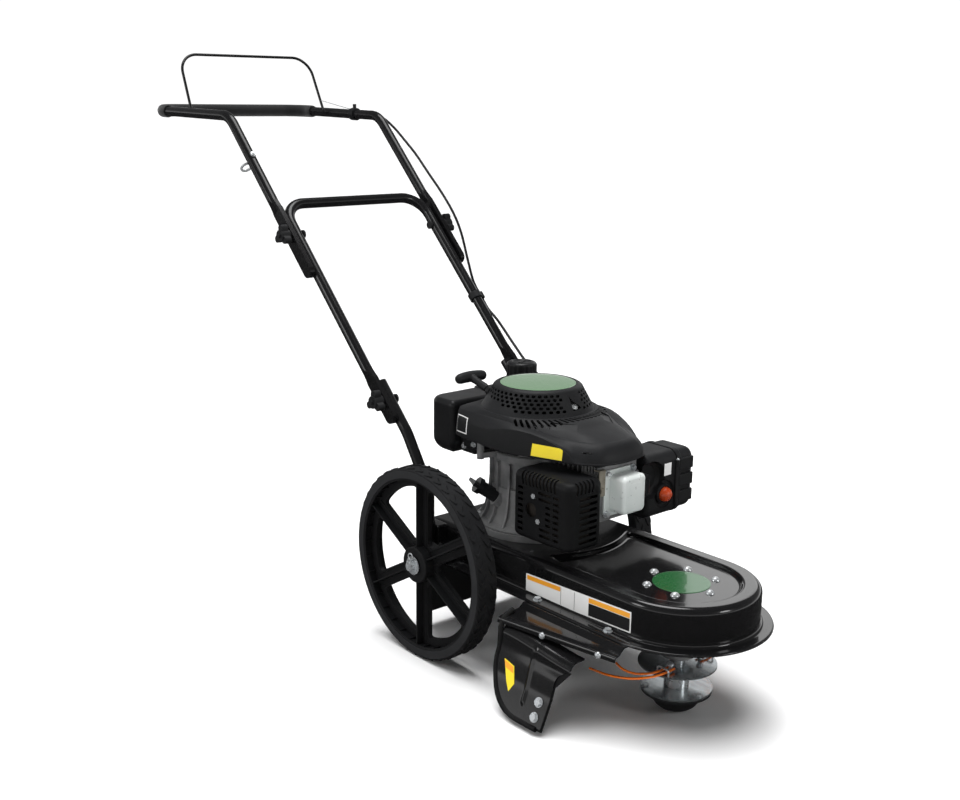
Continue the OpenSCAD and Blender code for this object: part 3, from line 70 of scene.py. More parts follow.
# Driving sizes and places of the machine, in millimetres
DECK_TOP = 231
DECK_R = 131
DECK_REAR = -507
PAN_FLOOR = 224
PAN_R = 97
ENGINE_SEAT_R = 174
TYRE_R = 178.0
HALF_TRACK = 199
SPOKES = 6
CRANK = (-352.0, 0.0, DECK_TOP)
AXLE = (-432.0, 0.0, TYRE_R)
PIVOT_X, PIVOT_Z = -587, 446
GUARD_TOP = 128
GUARD_FOOT = 14
GUARD_CORNER_X, GUARD_CORNER_Z = -125, 89
GUARD_CORNER_R = 75
BRACKET_REAR = -213
BRACKET_LONG = 233

# Heights above the deck top, in millimetres
SHROUD_FOOT = 169
DOME_FOOT = 219.1

# Slope of the handle, and the sides of the machine
SLOPE = math.radians(45.4)
SIDES = (("right", -1), ("left", 1))

# Sheet of the pressings, in metres
SHEET = 0.0025

# Camera, with its focal length in pixels of the picture's width and its turn, pitch and roll in degrees
PICTURE_WIDE = 960
FOCAL_LENGTH = 1223.897
CAMERA_SPOT = (1.206217, -1.492465, 0.994503)
CAMERA_ANGLES = (49.010, 13.816, 0.575)


def place(x, y, z):
    """A point of the machine, from millimetres."""
    return Vector((x, y, z)) * MM


def engine(x, y, z):
    """A point measured from the crankshaft and the deck top, in millimetres."""
    return place(x + CRANK[0], y + CRANK[1], z + CRANK[2])


def on_handle(s, y):
    """A point up the handle's slope, s from the lower pivot."""
    return place(PIVOT_X - s * math.cos(SLOPE), y, PIVOT_Z + s * math.sin(SLOPE))


# Mesh makers


def piece(name, verts, faces):
    """A new object from verts and faces."""
    mesh = bpy.data.meshes.new(name)
    mesh.from_pydata([tuple(v) for v in verts], [], [tuple(f) for f in faces])
    mesh.validate()
    obj = bpy.data.objects.new(name, mesh)
    bpy.context.scene.collection.objects.link(obj)
    return obj


def from_bmesh(name, bm):
    """A new object from a bmesh, which is freed."""
    mesh = bpy.data.meshes.new(name)
    bm.to_mesh(mesh)
    bm.free()
    obj = bpy.data.objects.new(name, mesh)
    bpy.context.scene.collection.objects.link(obj)
    return obj


def skin(rings, capped=False):
    """Verts and faces of a surface through rings of equal count, with its ends closed or open."""
    n = len(rings[0])
    verts = [p for ring in rings for p in ring]
    faces = []
    for i in range(len(rings) - 1):
        for k in range(n):
            a, b = i * n + k, i * n + (k + 1) % n
            faces.append((a, b, b + n, a + n))
    if capped:
        faces.append(tuple(reversed(range(n))))
        faces.append(tuple(range((len(rings) - 1) * n, len(rings) * n)))
    return verts, faces


def quads(across, up, base=0):
    """Faces of a sheet of points laid in rows, counted from a first index."""
    n = across + 1
    corners = (0, 1, n + 1, n)
    return [tuple(base + j * n + k + c for c in corners) for j in range(up) for k in range(across)]


def moved(part, spot, turn=None):
    """Verts and faces turned about the origin and set on a spot."""
    return [(turn @ p if turn else p) + spot for p in part[0]], part[1]


def spun(degrees, axis="Z"):
    """Turn about an axis."""
    return Matrix.Rotation(math.radians(degrees), 4, axis)


def join(*parts):
    """One set of verts and faces from several."""
    verts, faces = [], []
    for v, f in parts:
        base = len(verts)
        verts += list(v)
        faces += [tuple(i + base for i in face) for face in f]
    return verts, faces


def route(points, n):
    """Smooth line through points, n steps to each length."""
    out = []
    last = len(points) - 1
    for i in range(last):
        a, b, c, d = points[max(i - 1, 0)], points[i], points[i + 1], points[min(i + 2, last)]
        for k in range(n):
            t = k / n
            out.append((2 * b + (c - a) * t + (2 * a - 5 * b + 4 * c - d) * t * t
                        + (3 * b - a - 3 * c + d) * t ** 3) / 2)
    return out + [points[last]]


def bends(points, radii, steps):
    """Line through corner points, each inner corner bent to its radius."""
    out = [points[0]]
    for i in range(1, len(points) - 1):
        u = (points[i] - points[i - 1]).normalized()
        v = (points[i + 1] - points[i]).normalized()
        angle = u.angle(v)
        r = radii[i - 1]
        cut = r * math.tan(angle / 2)
        n = (v - u * u.dot(v)).normalized()
        start = points[i] - u * cut
        for k in range(steps + 1):
            a = angle * k / steps
            out.append(start + n * r * (1 - math.cos(a)) + u * r * math.sin(a))
    return out + [points[-1]]


def sweep(points, radius, sides):
    """Round bar along points; radius is a number or one for each point."""
    radii = radius if isinstance(radius, (list, tuple)) else [radius] * len(points)
    rings, side = [], None
    for i, p in enumerate(points):
        t = (points[min(i + 1, len(points) - 1)] - points[max(i - 1, 0)]).normalized()
        if side is None:
            side = t.orthogonal().normalized()
        side = (side - t * side.dot(t)).normalized()
        up = t.cross(side)
        rings.append([p + (side * math.cos(a) + up * math.sin(a)) * radii[i]
                      for a in (2 * math.pi * k / sides for k in range(sides))])
    return skin(rings, capped=True)


def turned(profile, centre, axis, steps):
    """Surface of revolution: profile of (radius, height) in millimetres about an axis."""
    axis = Vector(axis).normalized()
    side = axis.orthogonal().normalized()
    up = axis.cross(side)
    rings = []
    for r, h in profile:
        rings.append([centre + axis * h * MM + (side * math.cos(a) + up * math.sin(a)) * r * MM
                      for a in (2 * math.pi * k / steps for k in range(steps))])
    return skin(rings)


def block(lo, hi, edge=1.0, steps=2, turn=None):
    """Verts and faces of a box with rounded edges, in millimetres, turned by a matrix about its middle."""
    bm = bmesh.new()
    bmesh.ops.create_cube(bm, size=1)
    lo, hi = Vector(lo), Vector(hi)
    for v in bm.verts:
        v.co = Vector(v.co[i] * (hi[i] - lo[i]) for i in range(3))
    bmesh.ops.bevel(bm, geom=bm.edges[:], offset=edge, segments=steps, profile=0.5, affect="EDGES")
    mid = (lo + hi) / 2
    verts = [((turn @ v.co if turn else v.co) + mid) * MM for v in bm.verts]
    bm.verts.index_update()
    faces = [[v.index for v in f.verts] for f in bm.faces]
    bm.free()
    return verts, faces


def rounded_ring(wide, tall, radii, steps=8):
    """Outline of a rectangle whose four corners have their own radii."""
    ring = []
    for (x, y), r, a0 in zip(((wide, tall), (0, tall), (0, 0), (wide, 0)), radii, (0, 90, 180, 270)):
        cx, cy = (x - r if x else r), (y - r if y else r)
        ring += [(cx + r * math.cos(math.radians(a0 + 90 * k / steps)),
                  cy + r * math.sin(math.radians(a0 + 90 * k / steps))) for k in range(steps + 1)]
    return ring


def soft_box(lo, hi, radii, ends, axis, steps=6):
    """Engine box with rounded corners across an axis and rounded edges at its two ends, in millimetres."""
    i, j = [k for k in range(3) if k != axis]
    deep = hi[axis] - lo[axis]
    rows = []
    for edge, last in zip(ends, (False, True)):
        for k in range(steps + 1 if edge else 1):
            a = math.pi / 2 * k / steps
            rows.append((edge * (1 - math.cos(a)), deep - edge + edge * math.sin(a)) if last
                        else (edge * (1 - math.sin(a)), edge * (1 - math.cos(a))))
    rings = []
    for inset, t in rows:
        ring = []
        for u, v in rounded_ring(hi[i] - lo[i] - 2 * inset, hi[j] - lo[j] - 2 * inset,
                                 [max(r - 0.8 * inset, 0.8) for r in radii]):
            spot = [0.0, 0.0, 0.0]
            spot[axis], spot[i], spot[j] = lo[axis] + t, lo[i] + inset + u, lo[j] + inset + v
            ring.append(engine(*spot))
        rings.append(ring)
    return skin(rings, capped=True)


def at_engine(part):
    """Verts and faces made about the origin, set on the crankshaft and the deck top."""
    return moved(part, engine(0, 0, 0))


def smooth(obj, angle=35):
    """Soft shading, with edges sharper than the angle kept."""
    obj.data.polygons.foreach_set("use_smooth", [True] * len(obj.data.polygons))
    obj.data.set_sharp_from_angle(angle=math.radians(angle))
    even = obj.modifiers.new("even", "WEIGHTED_NORMAL")
    even.keep_sharp = True
    return obj


def outward(obj):
    """Joins verts that meet and turns the faces outward."""
    bm = bmesh.new()
    bm.from_mesh(obj.data)
    bmesh.ops.remove_doubles(bm, verts=bm.verts[:], dist=1e-6)
    bmesh.ops.recalc_face_normals(bm, faces=bm.faces[:])
    bm.to_mesh(obj.data)
    bm.free()
    return obj


def wear(obj, coat, body, slot=None, stands_for=(), angle=35):
    """Shades a new piece, gives it the named finish and sets it on its body."""
    smooth(outward(obj), angle)
    obj.data.materials.append(finish_of(coat))
    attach(obj, body)
    if stands_for:
        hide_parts(*stands_for)
    return obj


def fit(name, mesh, *rest):
    """A new piece from verts and faces, dressed as wear says."""
    return wear(piece(name, *mesh), *rest)


def strung(name, points, radius, sides, coat, node):
    """A cable, wire or rope that stands for a node, swept along points and left fixed in place."""
    cord = smooth(outward(piece(name, *sweep(points, radius, sides))), 60)
    cord.data.materials.append(finish_of(coat))
    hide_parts(node)
    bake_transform(cord)


def straight(a, b, steps=24):
    """Points in even steps from one point to another."""
    return [a + (b - a) * k / steps for k in range(steps + 1)]


def applied(obj):
    """The object with its modifiers made part of its mesh."""
    graph = bpy.context.evaluated_depsgraph_get()
    mesh = bpy.data.meshes.new_from_object(obj.evaluated_get(graph))
    old = obj.data
    obj.modifiers.clear()
    obj.data = mesh
    bpy.data.meshes.remove(old)
    return obj


def sheeted(obj, thickness=SHEET, offset=-1):
    """The surface thickened to a sheet."""
    thick = obj.modifiers.new("sheet", "SOLIDIFY")
    thick.thickness = thickness
    thick.offset = offset
    return applied(obj)


def cut_away(obj, cutter):
    """Takes a cutter's solids out of a piece."""
    mod = obj.modifiers.new("cut", "BOOLEAN")
    mod.operation = "DIFFERENCE"
    mod.solver = "EXACT"
    mod.use_self = True
    mod.object = cutter
    bpy.context.view_layer.update()
    applied(obj)
    bpy.data.objects.remove(cutter)
    return obj


def softened(node, edge):
    """A copy of a CAD node with its sharp edges rounded, in millimetres."""
    bm = bmesh.new()
    bm.from_mesh(frame["nodes"][node].data)
    bmesh.ops.remove_doubles(bm, verts=bm.verts[:], dist=2e-6)
    flat = [e for e in bm.edges if len(e.link_faces) == 2 and e.calc_face_angle(1) < math.radians(0.6)]
    bmesh.ops.dissolve_edges(bm, edges=flat, use_verts=True)
    sharp = [e for e in bm.edges if len(e.link_faces) == 2 and e.calc_face_angle(0) > math.radians(32)]
    bmesh.ops.bevel(bm, geom=sharp, offset=edge * MM, segments=3, profile=0.5, affect="EDGES",
                    clamp_overlap=True, harden_normals=False)
    obj = from_bmesh(node + "_finished", bm)
    if "custom_normal" in obj.data.attributes:
        obj.data.attributes.remove(obj.data.attributes["custom_normal"])
    return obj


# Finishes


def ramp(tree, source, low, high):
    """Colour that runs from low to high with the source."""
    node = tree.nodes.new("ShaderNodeValToRGB")
    for stop, colour, spot in zip(node.color_ramp.elements, (low, high), (0.3, 0.7)):
        stop.color = (*colour, 1.0)
        stop.position = spot
    tree.links.new(source, node.inputs["Fac"])
    return node.outputs["Color"]


def spread(tree, source, low, high):
    """Value that runs from low to high with the source."""
    node = tree.nodes.new("ShaderNodeMapRange")
    node.inputs["To Min"].default_value = low
    node.inputs["To Max"].default_value = high
    tree.links.new(source, node.inputs["Value"])
    return node.outputs["Result"]


def noise(tree, where, scale, detail, stretch=None):
    """Cloudy pattern, which may be stretched."""
    if stretch:
        turn = tree.nodes.new("ShaderNodeMapping")
        turn.inputs["Scale"].default_value = stretch
        tree.links.new(where, turn.inputs["Vector"])
        where = turn.outputs["Vector"]
    node = tree.nodes.new("ShaderNodeTexNoise")
    node.inputs["Scale"].default_value = scale
    node.inputs["Detail"].default_value = detail
    tree.links.new(where, node.inputs["Vector"])
    return node.outputs["Fac"]


def cells(tree, where, scale):
    """Pattern of open cells."""
    node = tree.nodes.new("ShaderNodeTexVoronoi")
    node.inputs["Scale"].default_value = scale
    tree.links.new(where, node.inputs["Vector"])
    return node.outputs["Distance"]


def bump(tree, source, depth, strength, after=None):
    """Relief from a pattern, on top of an earlier one."""
    node = tree.nodes.new("ShaderNodeBump")
    node.inputs["Strength"].default_value = strength
    node.inputs["Distance"].default_value = depth
    tree.links.new(source, node.inputs["Height"])
    if after:
        tree.links.new(after, node.inputs["Normal"])
    return node.outputs["Normal"]


def finish(name, colours, rough, metal=0.0, cloud=9.0, grain=(900.0, 0.00005, 0.4), dents=None,
           coat=0.0, sheen=0.0, pores=None, brush=None, specular=0.5):
    """A procedural finish: clouded colour, uneven gloss and a fine surface."""
    made = bpy.data.materials.new(name)
    made.use_nodes = True
    tree = made.node_tree
    shader = tree.nodes["Principled BSDF"]
    where = tree.nodes.new("ShaderNodeTexCoord").outputs["Object"]
    cloudy = noise(tree, where, cloud, 6.0, brush)
    tree.links.new(ramp(tree, cloudy, *colours), shader.inputs["Base Color"])
    tree.links.new(spread(tree, noise(tree, where, cloud * 5, 5.0, brush), *rough),
                   shader.inputs["Roughness"])
    shader.inputs["Metallic"].default_value = metal
    shader.inputs["Specular IOR Level"].default_value = specular
    if coat:
        shader.inputs["Coat Weight"].default_value = coat
        shader.inputs["Coat Roughness"].default_value = 0.06
    if sheen:
        shader.inputs["Sheen Weight"].default_value = sheen
        shader.inputs["Sheen Roughness"].default_value = 0.5
    normal = None
    if dents:
        normal = bump(tree, noise(tree, where, dents[0], 2.0), dents[1], dents[2])
    if pores:
        normal = bump(tree, cells(tree, where, pores[0]), pores[1], pores[2], normal)
    if grain:
        normal = bump(tree, noise(tree, where, grain[0], 3.0, brush), grain[1], grain[2], normal)
    if normal:
        tree.links.new(normal, shader.inputs["Normal"])
    return made


FINISHES = {}


def finish_of(name):
    """Finish by its short name."""
    return FINISHES[name]


# Settings


class TrimmerColours(bpy.types.PropertyGroup):
    """Colours that a user may change."""
    paint: bpy.props.FloatVectorProperty(name="Deck paint",
                                         description="Gloss paint of the deck and guard", subtype="COLOR",
                                         size=3, default=(0.0045, 0.0045, 0.0048))
    tube: bpy.props.FloatVectorProperty(name="Handle coat", description="Powder coat of the handle tubes",
                                        subtype="COLOR", size=3, default=(0.006, 0.006, 0.0064))
    moulding: bpy.props.FloatVectorProperty(name="Mouldings",
                                            description="Plastic of the shroud and wheels",
                                            subtype="COLOR", size=3, default=(0.0115, 0.0118, 0.0128))
    line: bpy.props.FloatVectorProperty(name="Trimmer line", description="Nylon of the trimmer line",
                                        subtype="COLOR", size=3, default=(1.0, 0.2, 0.012))
    badge: bpy.props.FloatVectorProperty(name="Badges",
                                         description="Plain discs on the deck and starter cover",
                                         subtype="COLOR", size=3, default=(0.013, 0.085, 0.024))


class TrimmerSizes(bpy.types.PropertyGroup):
    """Sizes that a user may change."""
    lugs: bpy.props.IntProperty(name="Tread lugs", description="Lugs on each shoulder of a tyre",
                                default=44, min=12, max=80)
    lug_rise: bpy.props.FloatProperty(name="Lug height", description="Height of the tread lugs",
                                      default=0.0024, unit="LENGTH", precision=4)
    vents: bpy.props.IntProperty(name="Vent columns",
                                 description="Columns of holes round the starter cover", default=48,
                                 min=24, max=90)
    line_d: bpy.props.FloatProperty(name="Line diameter", description="Diameter of the trimmer line",
                                    default=0.004, unit="LENGTH", precision=4)
    cable_d: bpy.props.FloatProperty(name="Cable diameter", description="Diameter of the control cable",
                                     default=0.0055, unit="LENGTH", precision=4)
    floor: bpy.props.FloatProperty(name="Floor size", description="Half size of the studio floor",
                                   default=120.0, unit="LENGTH")


def colours():
    """Colour settings of the scene."""
    return bpy.context.scene.trimmer_colours


def sizes():
    """Size settings of the scene."""
    return bpy.context.scene.trimmer_sizes


def lighter(colour, factor):
    """Colour with each channel times a factor."""
    return tuple(c * factor for c in colour)


def shades(colour, low, high):
    """Two tones of a colour."""
    return lighter(colour, low), lighter(colour, high)


# Operators


class TRIMMER_OT_finishes(bpy.types.Operator):
    """Mix the finishes and give every CAD node its own"""
    bl_idname = "trimmer.finishes"
    bl_label = "Finishes"

    def execute(self, context):
        c = colours()
        paint, tube, plastic = tuple(c.paint), tuple(c.tube), tuple(c.moulding)
        FINISHES.update(
            paint=finish("deck_gloss_paint", (paint, lighter(paint, 1.5)), (0.12, 0.2), coat=0.5,
                         specular=0.4, dents=(140.0, 0.0004, 0.08), grain=(2600.0, 0.00002, 0.08)),
            tube=finish("handle_powder_coat", shades(tube, 0.8, 1.2), (0.17, 0.26), specular=0.45,
                        grain=(1500.0, 0.00003, 0.12)),
            plastic=finish("shroud_plastic", (lighter(plastic, 0.8), plastic), (0.46, 0.58), specular=0.3,
                           grain=(2200.0, 0.00006, 0.4)),
            wheel=finish("wheel_plastic", shades(plastic, 0.55, 0.85), (0.5, 0.64), specular=0.28,
                         grain=(1700.0, 0.00008, 0.5)),
            tyre=finish("tyre_rubber", shades(plastic, 0.6, 1.0), (0.6, 0.8), cloud=22.0, specular=0.26,
                        grain=(1300.0, 0.00012, 0.6)),
            # Sidewall: the tyre rubber in a lighter copy, a painted sheen for the light its flat sides
            # catch
            sidewall=finish("tyre_sidewall_painted_sheen", shades(plastic, 1.5, 1.9), (0.5, 0.62), cloud=14.0,
                            specular=0.35, grain=(1500.0, 0.00006, 0.3)),
            tank=finish("tank_plastic", shades(plastic, 0.55, 0.85), (0.3, 0.42), specular=0.36,
                        grain=(1900.0, 0.00006, 0.35)),
            guard=finish("muffler_guard_paint", shades(plastic, 0.4, 0.65), (0.46, 0.6), specular=0.2,
                         grain=(1600.0, 0.00008, 0.5)),
            zinc=finish("bright_zinc", ((0.6, 0.63, 0.66), (0.8, 0.82, 0.82)), (0.25, 0.3), metal=0.72,
                        cloud=14.0, grain=(1200.0, 0.00002, 0.1)),
            # Rocker cover: pale zinc whose light, mostly non-metallic base colour is partly a painted
            # reflection of a bright front
            cover=finish("rocker_cover_zinc", ((0.74, 0.8, 0.78), (0.86, 0.9, 0.88)), (0.24, 0.34),
                         metal=0.25, cloud=18.0, grain=(1200.0, 0.00001, 0.05)),
            plate=finish("rolled_zinc_plate", ((0.36, 0.39, 0.41), (0.52, 0.55, 0.56)), (0.16, 0.28),
                         metal=0.9, cloud=14.0, brush=(1.0, 9.0, 1.0), grain=(700.0, 0.00003, 0.2)),
            cast=finish("cast_aluminium", ((0.13, 0.133, 0.137), (0.25, 0.25, 0.25)), (0.42, 0.62),
                        metal=0.35, cloud=26.0, dents=(260.0, 0.0003, 0.25), grain=(1500.0, 0.0001, 0.6)),
            bronze=finish("bracket_steel", ((0.2, 0.18, 0.14), (0.34, 0.31, 0.25)), (0.4, 0.55),
                          metal=0.4, cloud=60.0, grain=(1200.0, 0.00008, 0.5)),
            iron=finish("muffler_steel", ((0.02, 0.018, 0.016), (0.06, 0.05, 0.042)), (0.5, 0.75),
                        metal=0.6, cloud=30.0, grain=(900.0, 0.0001, 0.6)),
            foam=finish("grip_foam", ((0.004, 0.004, 0.0045), (0.01, 0.01, 0.0105)), (0.85, 1.0),
                        sheen=0.2, specular=0.2, pores=(900.0, 0.0003, 0.8), grain=(1500.0, 0.0001, 0.5)),
            flap=finish("flap_rubber", ((0.004, 0.004, 0.0045), (0.009, 0.009, 0.009)), (0.5, 0.7),
                        specular=0.25, grain=(900.0, 0.0001, 0.5)),
            line=finish("orange_nylon", (lighter(c.line, 0.8), tuple(c.line)), (0.25, 0.4), cloud=40.0,
                        grain=(1200.0, 0.00005, 0.3)),
            primer=finish("primer_rubber", ((0.36, 0.036, 0.008), (0.46, 0.06, 0.014)), (0.22, 0.34),
                          cloud=60.0, grain=(1500.0, 0.00005, 0.2)),
            sheath=finish("cable_sheath", ((0.004, 0.004, 0.0045), (0.009, 0.009, 0.01)), (0.3, 0.45),
                          specular=0.35, grain=(1500.0, 0.00005, 0.3)),
            rope=finish("starter_rope", ((0.35, 0.33, 0.28), (0.6, 0.57, 0.5)), (0.7, 0.9), cloud=300.0,
                        grain=(1800.0, 0.0003, 0.8)),
            belt=finish("belt_rubber", ((0.008, 0.008, 0.009), (0.02, 0.02, 0.02)), (0.6, 0.8),
                        grain=(1500.0, 0.0001, 0.5)),
            badge=finish("green_badge", shades(c.badge, 0.9, 1.1), (0.24, 0.3), cloud=4.0, grain=None,
                         coat=0.6),
            # Starter badge: its green lightened to a pale tone, a painted reflection of the light on its
            # top
            dome_badge=finish("green_badge_painted_reflection", ((0.15, 0.27, 0.15), (0.18, 0.3, 0.18)), (0.16, 0.2),
                              cloud=4.0, grain=None, coat=1.0),
            white=finish("white_plate", ((0.72, 0.72, 0.71), (0.8, 0.8, 0.79)), (0.3, 0.4), grain=None),
            amber=finish("amber_plate", ((0.78, 0.3, 0.01), (0.86, 0.37, 0.02)), (0.3, 0.4), grain=None),
            yellow=finish("yellow_plate", ((0.8, 0.62, 0.01), (0.88, 0.7, 0.02)), (0.3, 0.4), grain=None),
        )
        slots = {"deck_paint": "paint", "handle_paint": "tube", "wheel_plastic": "wheel", "tyre": "tyre",
                 "zinc": "zinc", "cast": "cast", "shroud_plastic": "plastic", "tank_plastic": "tank",
                 "guard_paint": "guard", "muffler_steel": "iron", "foam": "foam", "flap_rubber": "flap",
                 "line": "line", "primer": "primer", "sheath": "sheath", "rope": "rope", "belt": "belt"}
        for row in frame["record"]["subparts"]:
            obj = frame["nodes"][row["node"]]
            obj.data.materials.clear()
            obj.data.materials.append(finish_of(slots[row["material_slot"]]))
        frame["nodes"]["head_plates"].data.materials[0] = finish_of("plate")
        return {"FINISHED"}


class TRIMMER_OT_stage(bpy.types.Operator):
    """Set the camera, the pale floor and the studio lights"""
    bl_idname = "trimmer.stage"
    bl_label = "Stage"

    def execute(self, context):
        scene = context.scene
        lens = bpy.data.cameras.new("studio_camera")
        lens.sensor_width = 36.0
        lens.lens = lens.sensor_width * FOCAL_LENGTH / PICTURE_WIDE
        lens.clip_end = 400.0
        camera = bpy.data.objects.new("studio_camera", lens)
        scene.collection.objects.link(camera)
        turn, pitch, roll = (math.radians(a) for a in CAMERA_ANGLES)
        ahead = Vector((-math.sin(turn) * math.cos(pitch), math.cos(turn) * math.cos(pitch),
                        -math.sin(pitch)))
        right = Vector((math.cos(turn), math.sin(turn), 0))
        up = right.cross(ahead)
        across = right * math.cos(roll) + up * math.sin(roll)
        over = up * math.cos(roll) - right * math.sin(roll)
        stance = Matrix((across, over, -ahead)).transposed().to_4x4()
        stance.translation = Vector(CAMERA_SPOT)
        camera.matrix_world = stance
        scene.camera = camera

        size = sizes().floor
        steps = 48
        floor = piece("studio_floor", [(size * math.cos(a), size * math.sin(a), -0.0005) for a in
                                       (2 * math.pi * k / steps for k in range(steps))], [range(steps)])
        pale = finish("studio_floor_paint", ((0.86, 0.86, 0.865), (0.9, 0.9, 0.9)), (0.7, 0.8), cloud=0.7,
                      grain=None, specular=0.1)
        floor.data.materials.append(pale)
        floor.visible_glossy = False

        world = bpy.data.worlds.new("studio")
        scene.world = world
        world.use_nodes = True
        tree = world.node_tree
        sky = tree.nodes["Background"]
        where = tree.nodes.new("ShaderNodeTexCoord").outputs["Generated"]
        split = tree.nodes.new("ShaderNodeSeparateXYZ")
        tree.links.new(where, split.inputs["Vector"])
        level = tree.nodes.new("ShaderNodeMapRange")
        level.inputs["From Min"].default_value = -1.0
        tree.links.new(split.outputs["Z"], level.inputs["Value"])
        wall = tree.nodes.new("ShaderNodeValToRGB")
        stops = [(0.0, 0.03), (0.478, 0.05), (0.486, 1.05), (0.54, 1.05), (0.575, 0.3), (0.65, 0.16),
                 (0.85, 0.08)]
        while len(wall.color_ramp.elements) < len(stops):
            wall.color_ramp.elements.new(0.5)
        for stop, (spot, tone) in zip(wall.color_ramp.elements, stops):
            stop.position = spot
            stop.color = (tone, tone, tone, 1.0)
        tree.links.new(level.outputs["Result"], wall.inputs["Fac"])
        tree.links.new(wall.outputs["Color"], sky.inputs["Color"])
        sky.inputs["Strength"].default_value = 1.0
        sun = bpy.data.lights.new("ceiling", "SUN")
        sun.energy = 4.0
        sun.angle = math.radians(56)
        lamp = bpy.data.objects.new("ceiling", sun)
        scene.collection.objects.link(lamp)
        lamp.rotation_euler = Vector((0.08, 0.1, -1)).to_track_quat("-Z", "Y").to_euler()
        lamp.visible_glossy = False
        for name, spot, aim, wide, power in (
                ("top_softbox", (-0.9, 0.3, 3.0), (-0.4, 0, 0.3), 1.6, 30),
                ("key_softbox", (-1.4, -3.0, 2.0), (-0.4, 0, 0.4), 1.2, 15),
                ("front_softbox", (3.2, 0.9, 1.8), (-0.2, 0, 0.3), 1.0, 16),
                ("rear_softbox", (-1.8, 3.1, 1.8), (-0.1, 0, 0.3), 1.5, 7)):
            light = bpy.data.lights.new(name, "AREA")
            light.shape = "DISK"
            light.size = wide
            light.energy = power
            lamp = bpy.data.objects.new(name, light)
            scene.collection.objects.link(lamp)
            lamp.location = spot
            lamp.rotation_euler = (Vector(aim) - Vector(spot)).to_track_quat("-Z", "Y").to_euler()
        scene.view_settings.view_transform = "Standard"
        return {"FINISHED"}


class TRIMMER_OT_lines(bpy.types.Operator):
    """Lay the four ends of trimmer line"""
    bl_idname = "trimmer.lines"
    bl_label = "Trimmer lines"

    def execute(self, context):
        long = [(22.1, 34, 87.5), (22.1, 57, 87.5), (17, 84, 87), (-6, 108, 83), (-45, 118, 77),
                (-92, 115, 71)]
        short = [(11.9, 34, 87.5), (11.9, 57, 87.5), (7, 80, 88), (-10, 97, 87), (-31, 101, 88),
                 (-50, 96, 90)]
        for word, way in (("long", long), ("short", short)):
            for side, sign in SIDES:
                points = route([place(x, sign * y, z) for x, y, z in way], 6)
                curve = bpy.data.curves.new(f"line_{word}_{side}", "CURVE")
                curve.dimensions = "3D"
                curve.bevel_depth = sizes().line_d / 2
                curve.bevel_resolution = 4
                curve.use_fill_caps = True
                spline = curve.splines.new("POLY")
                spline.points.add(len(points) - 1)
                for dot, p in zip(spline.points, points):
                    dot.co = (*p, 1)
                spline.use_smooth = True
                line = bpy.data.objects.new(f"line_{word}_{side}", curve)
                context.scene.collection.objects.link(line)
                curve.materials.append(finish_of("line"))
                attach(line, "trimmer_head")
                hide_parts("trimmer_lines")
        return {"FINISHED"}


class TRIMMER_OT_tyres(bpy.types.Operator):
    """Mould the tyres with their curved tread lugs"""
    bl_idname = "trimmer.tyres"
    bl_label = "Tyres"

    def execute(self, context):
        s = sizes()
        rise = s.lug_rise / MM
        crown = TYRE_R - rise
        for side, sign in SIDES:
            centre = place(AXLE[0], sign * HALF_TRACK, AXLE[2])
            half = [(163, 18), (157.2, 20.9), (157.8, 21.7), (158.8, 22), (172.6, 22), (173.8, 21.6),
                    (crown - 0.3, 20.2), (crown, 18), (crown + 0.1, 6), (crown + 0.1, 0)]
            profile = half + [(r, -y) for r, y in reversed(half[:-1])] + [(163, 18)]
            parts = [turned(profile, centre, (0, 1, 0), 160)]
            for k in range(s.lugs):
                for hand in (-1, 1):
                    spin = 2 * math.pi * (k + (0.5 if hand > 0 else 0)) / s.lugs
                    rings = []
                    for i in range(9):
                        t = i / 8
                        y = hand * (3.5 + 17.6 * t)
                        drop = 0 if t < 0.75 else 2.4 * ((t - 0.75) / 0.25) ** 2
                        angle = spin + math.radians(3.4) * math.sin((t - 0.15) * math.pi * 1.25)
                        wide = math.radians(0.95) * (1 - 0.35 * abs(2 * t - 1) ** 2)
                        tall = rise * min(1.0, 6 * t + 0.25, 6 * (1 - t) + 0.35)
                        ring = []
                        for a, h in ((-1.25, -1.0), (-0.8, tall), (0.8, tall), (1.25, -1.0)):
                            r = (crown - drop + h) * MM
                            q = angle + a * wide
                            ring.append(centre + Vector((r * math.sin(q), y * MM, r * math.cos(q))))
                        rings.append(ring)
                    parts.append(skin(rings, capped=True))
            tyre = piece(f"tyre_tread_{side}", *join(*parts))
            wear(tyre, "tyre", f"{side}_wheel", "tyre", [f"tyre_{side}"], 40)
            # The flat outer sides get the lighter copy of the rubber, a painted sheen
            tyre.data.materials.append(finish_of("sidewall"))
            for face in tyre.data.polygons:
                if abs(face.normal.y) > 0.97 and abs(face.center.y - centre.y) > 21.5 * MM:
                    face.material_index = 1
        return {"FINISHED"}


def ring_of(radius, steps, x=0, y=0):
    """Points of a circle about a middle."""
    return [(x + radius * math.cos(2 * math.pi * k / steps), y + radius * math.sin(2 * math.pi * k / steps))
            for k in range(steps)]


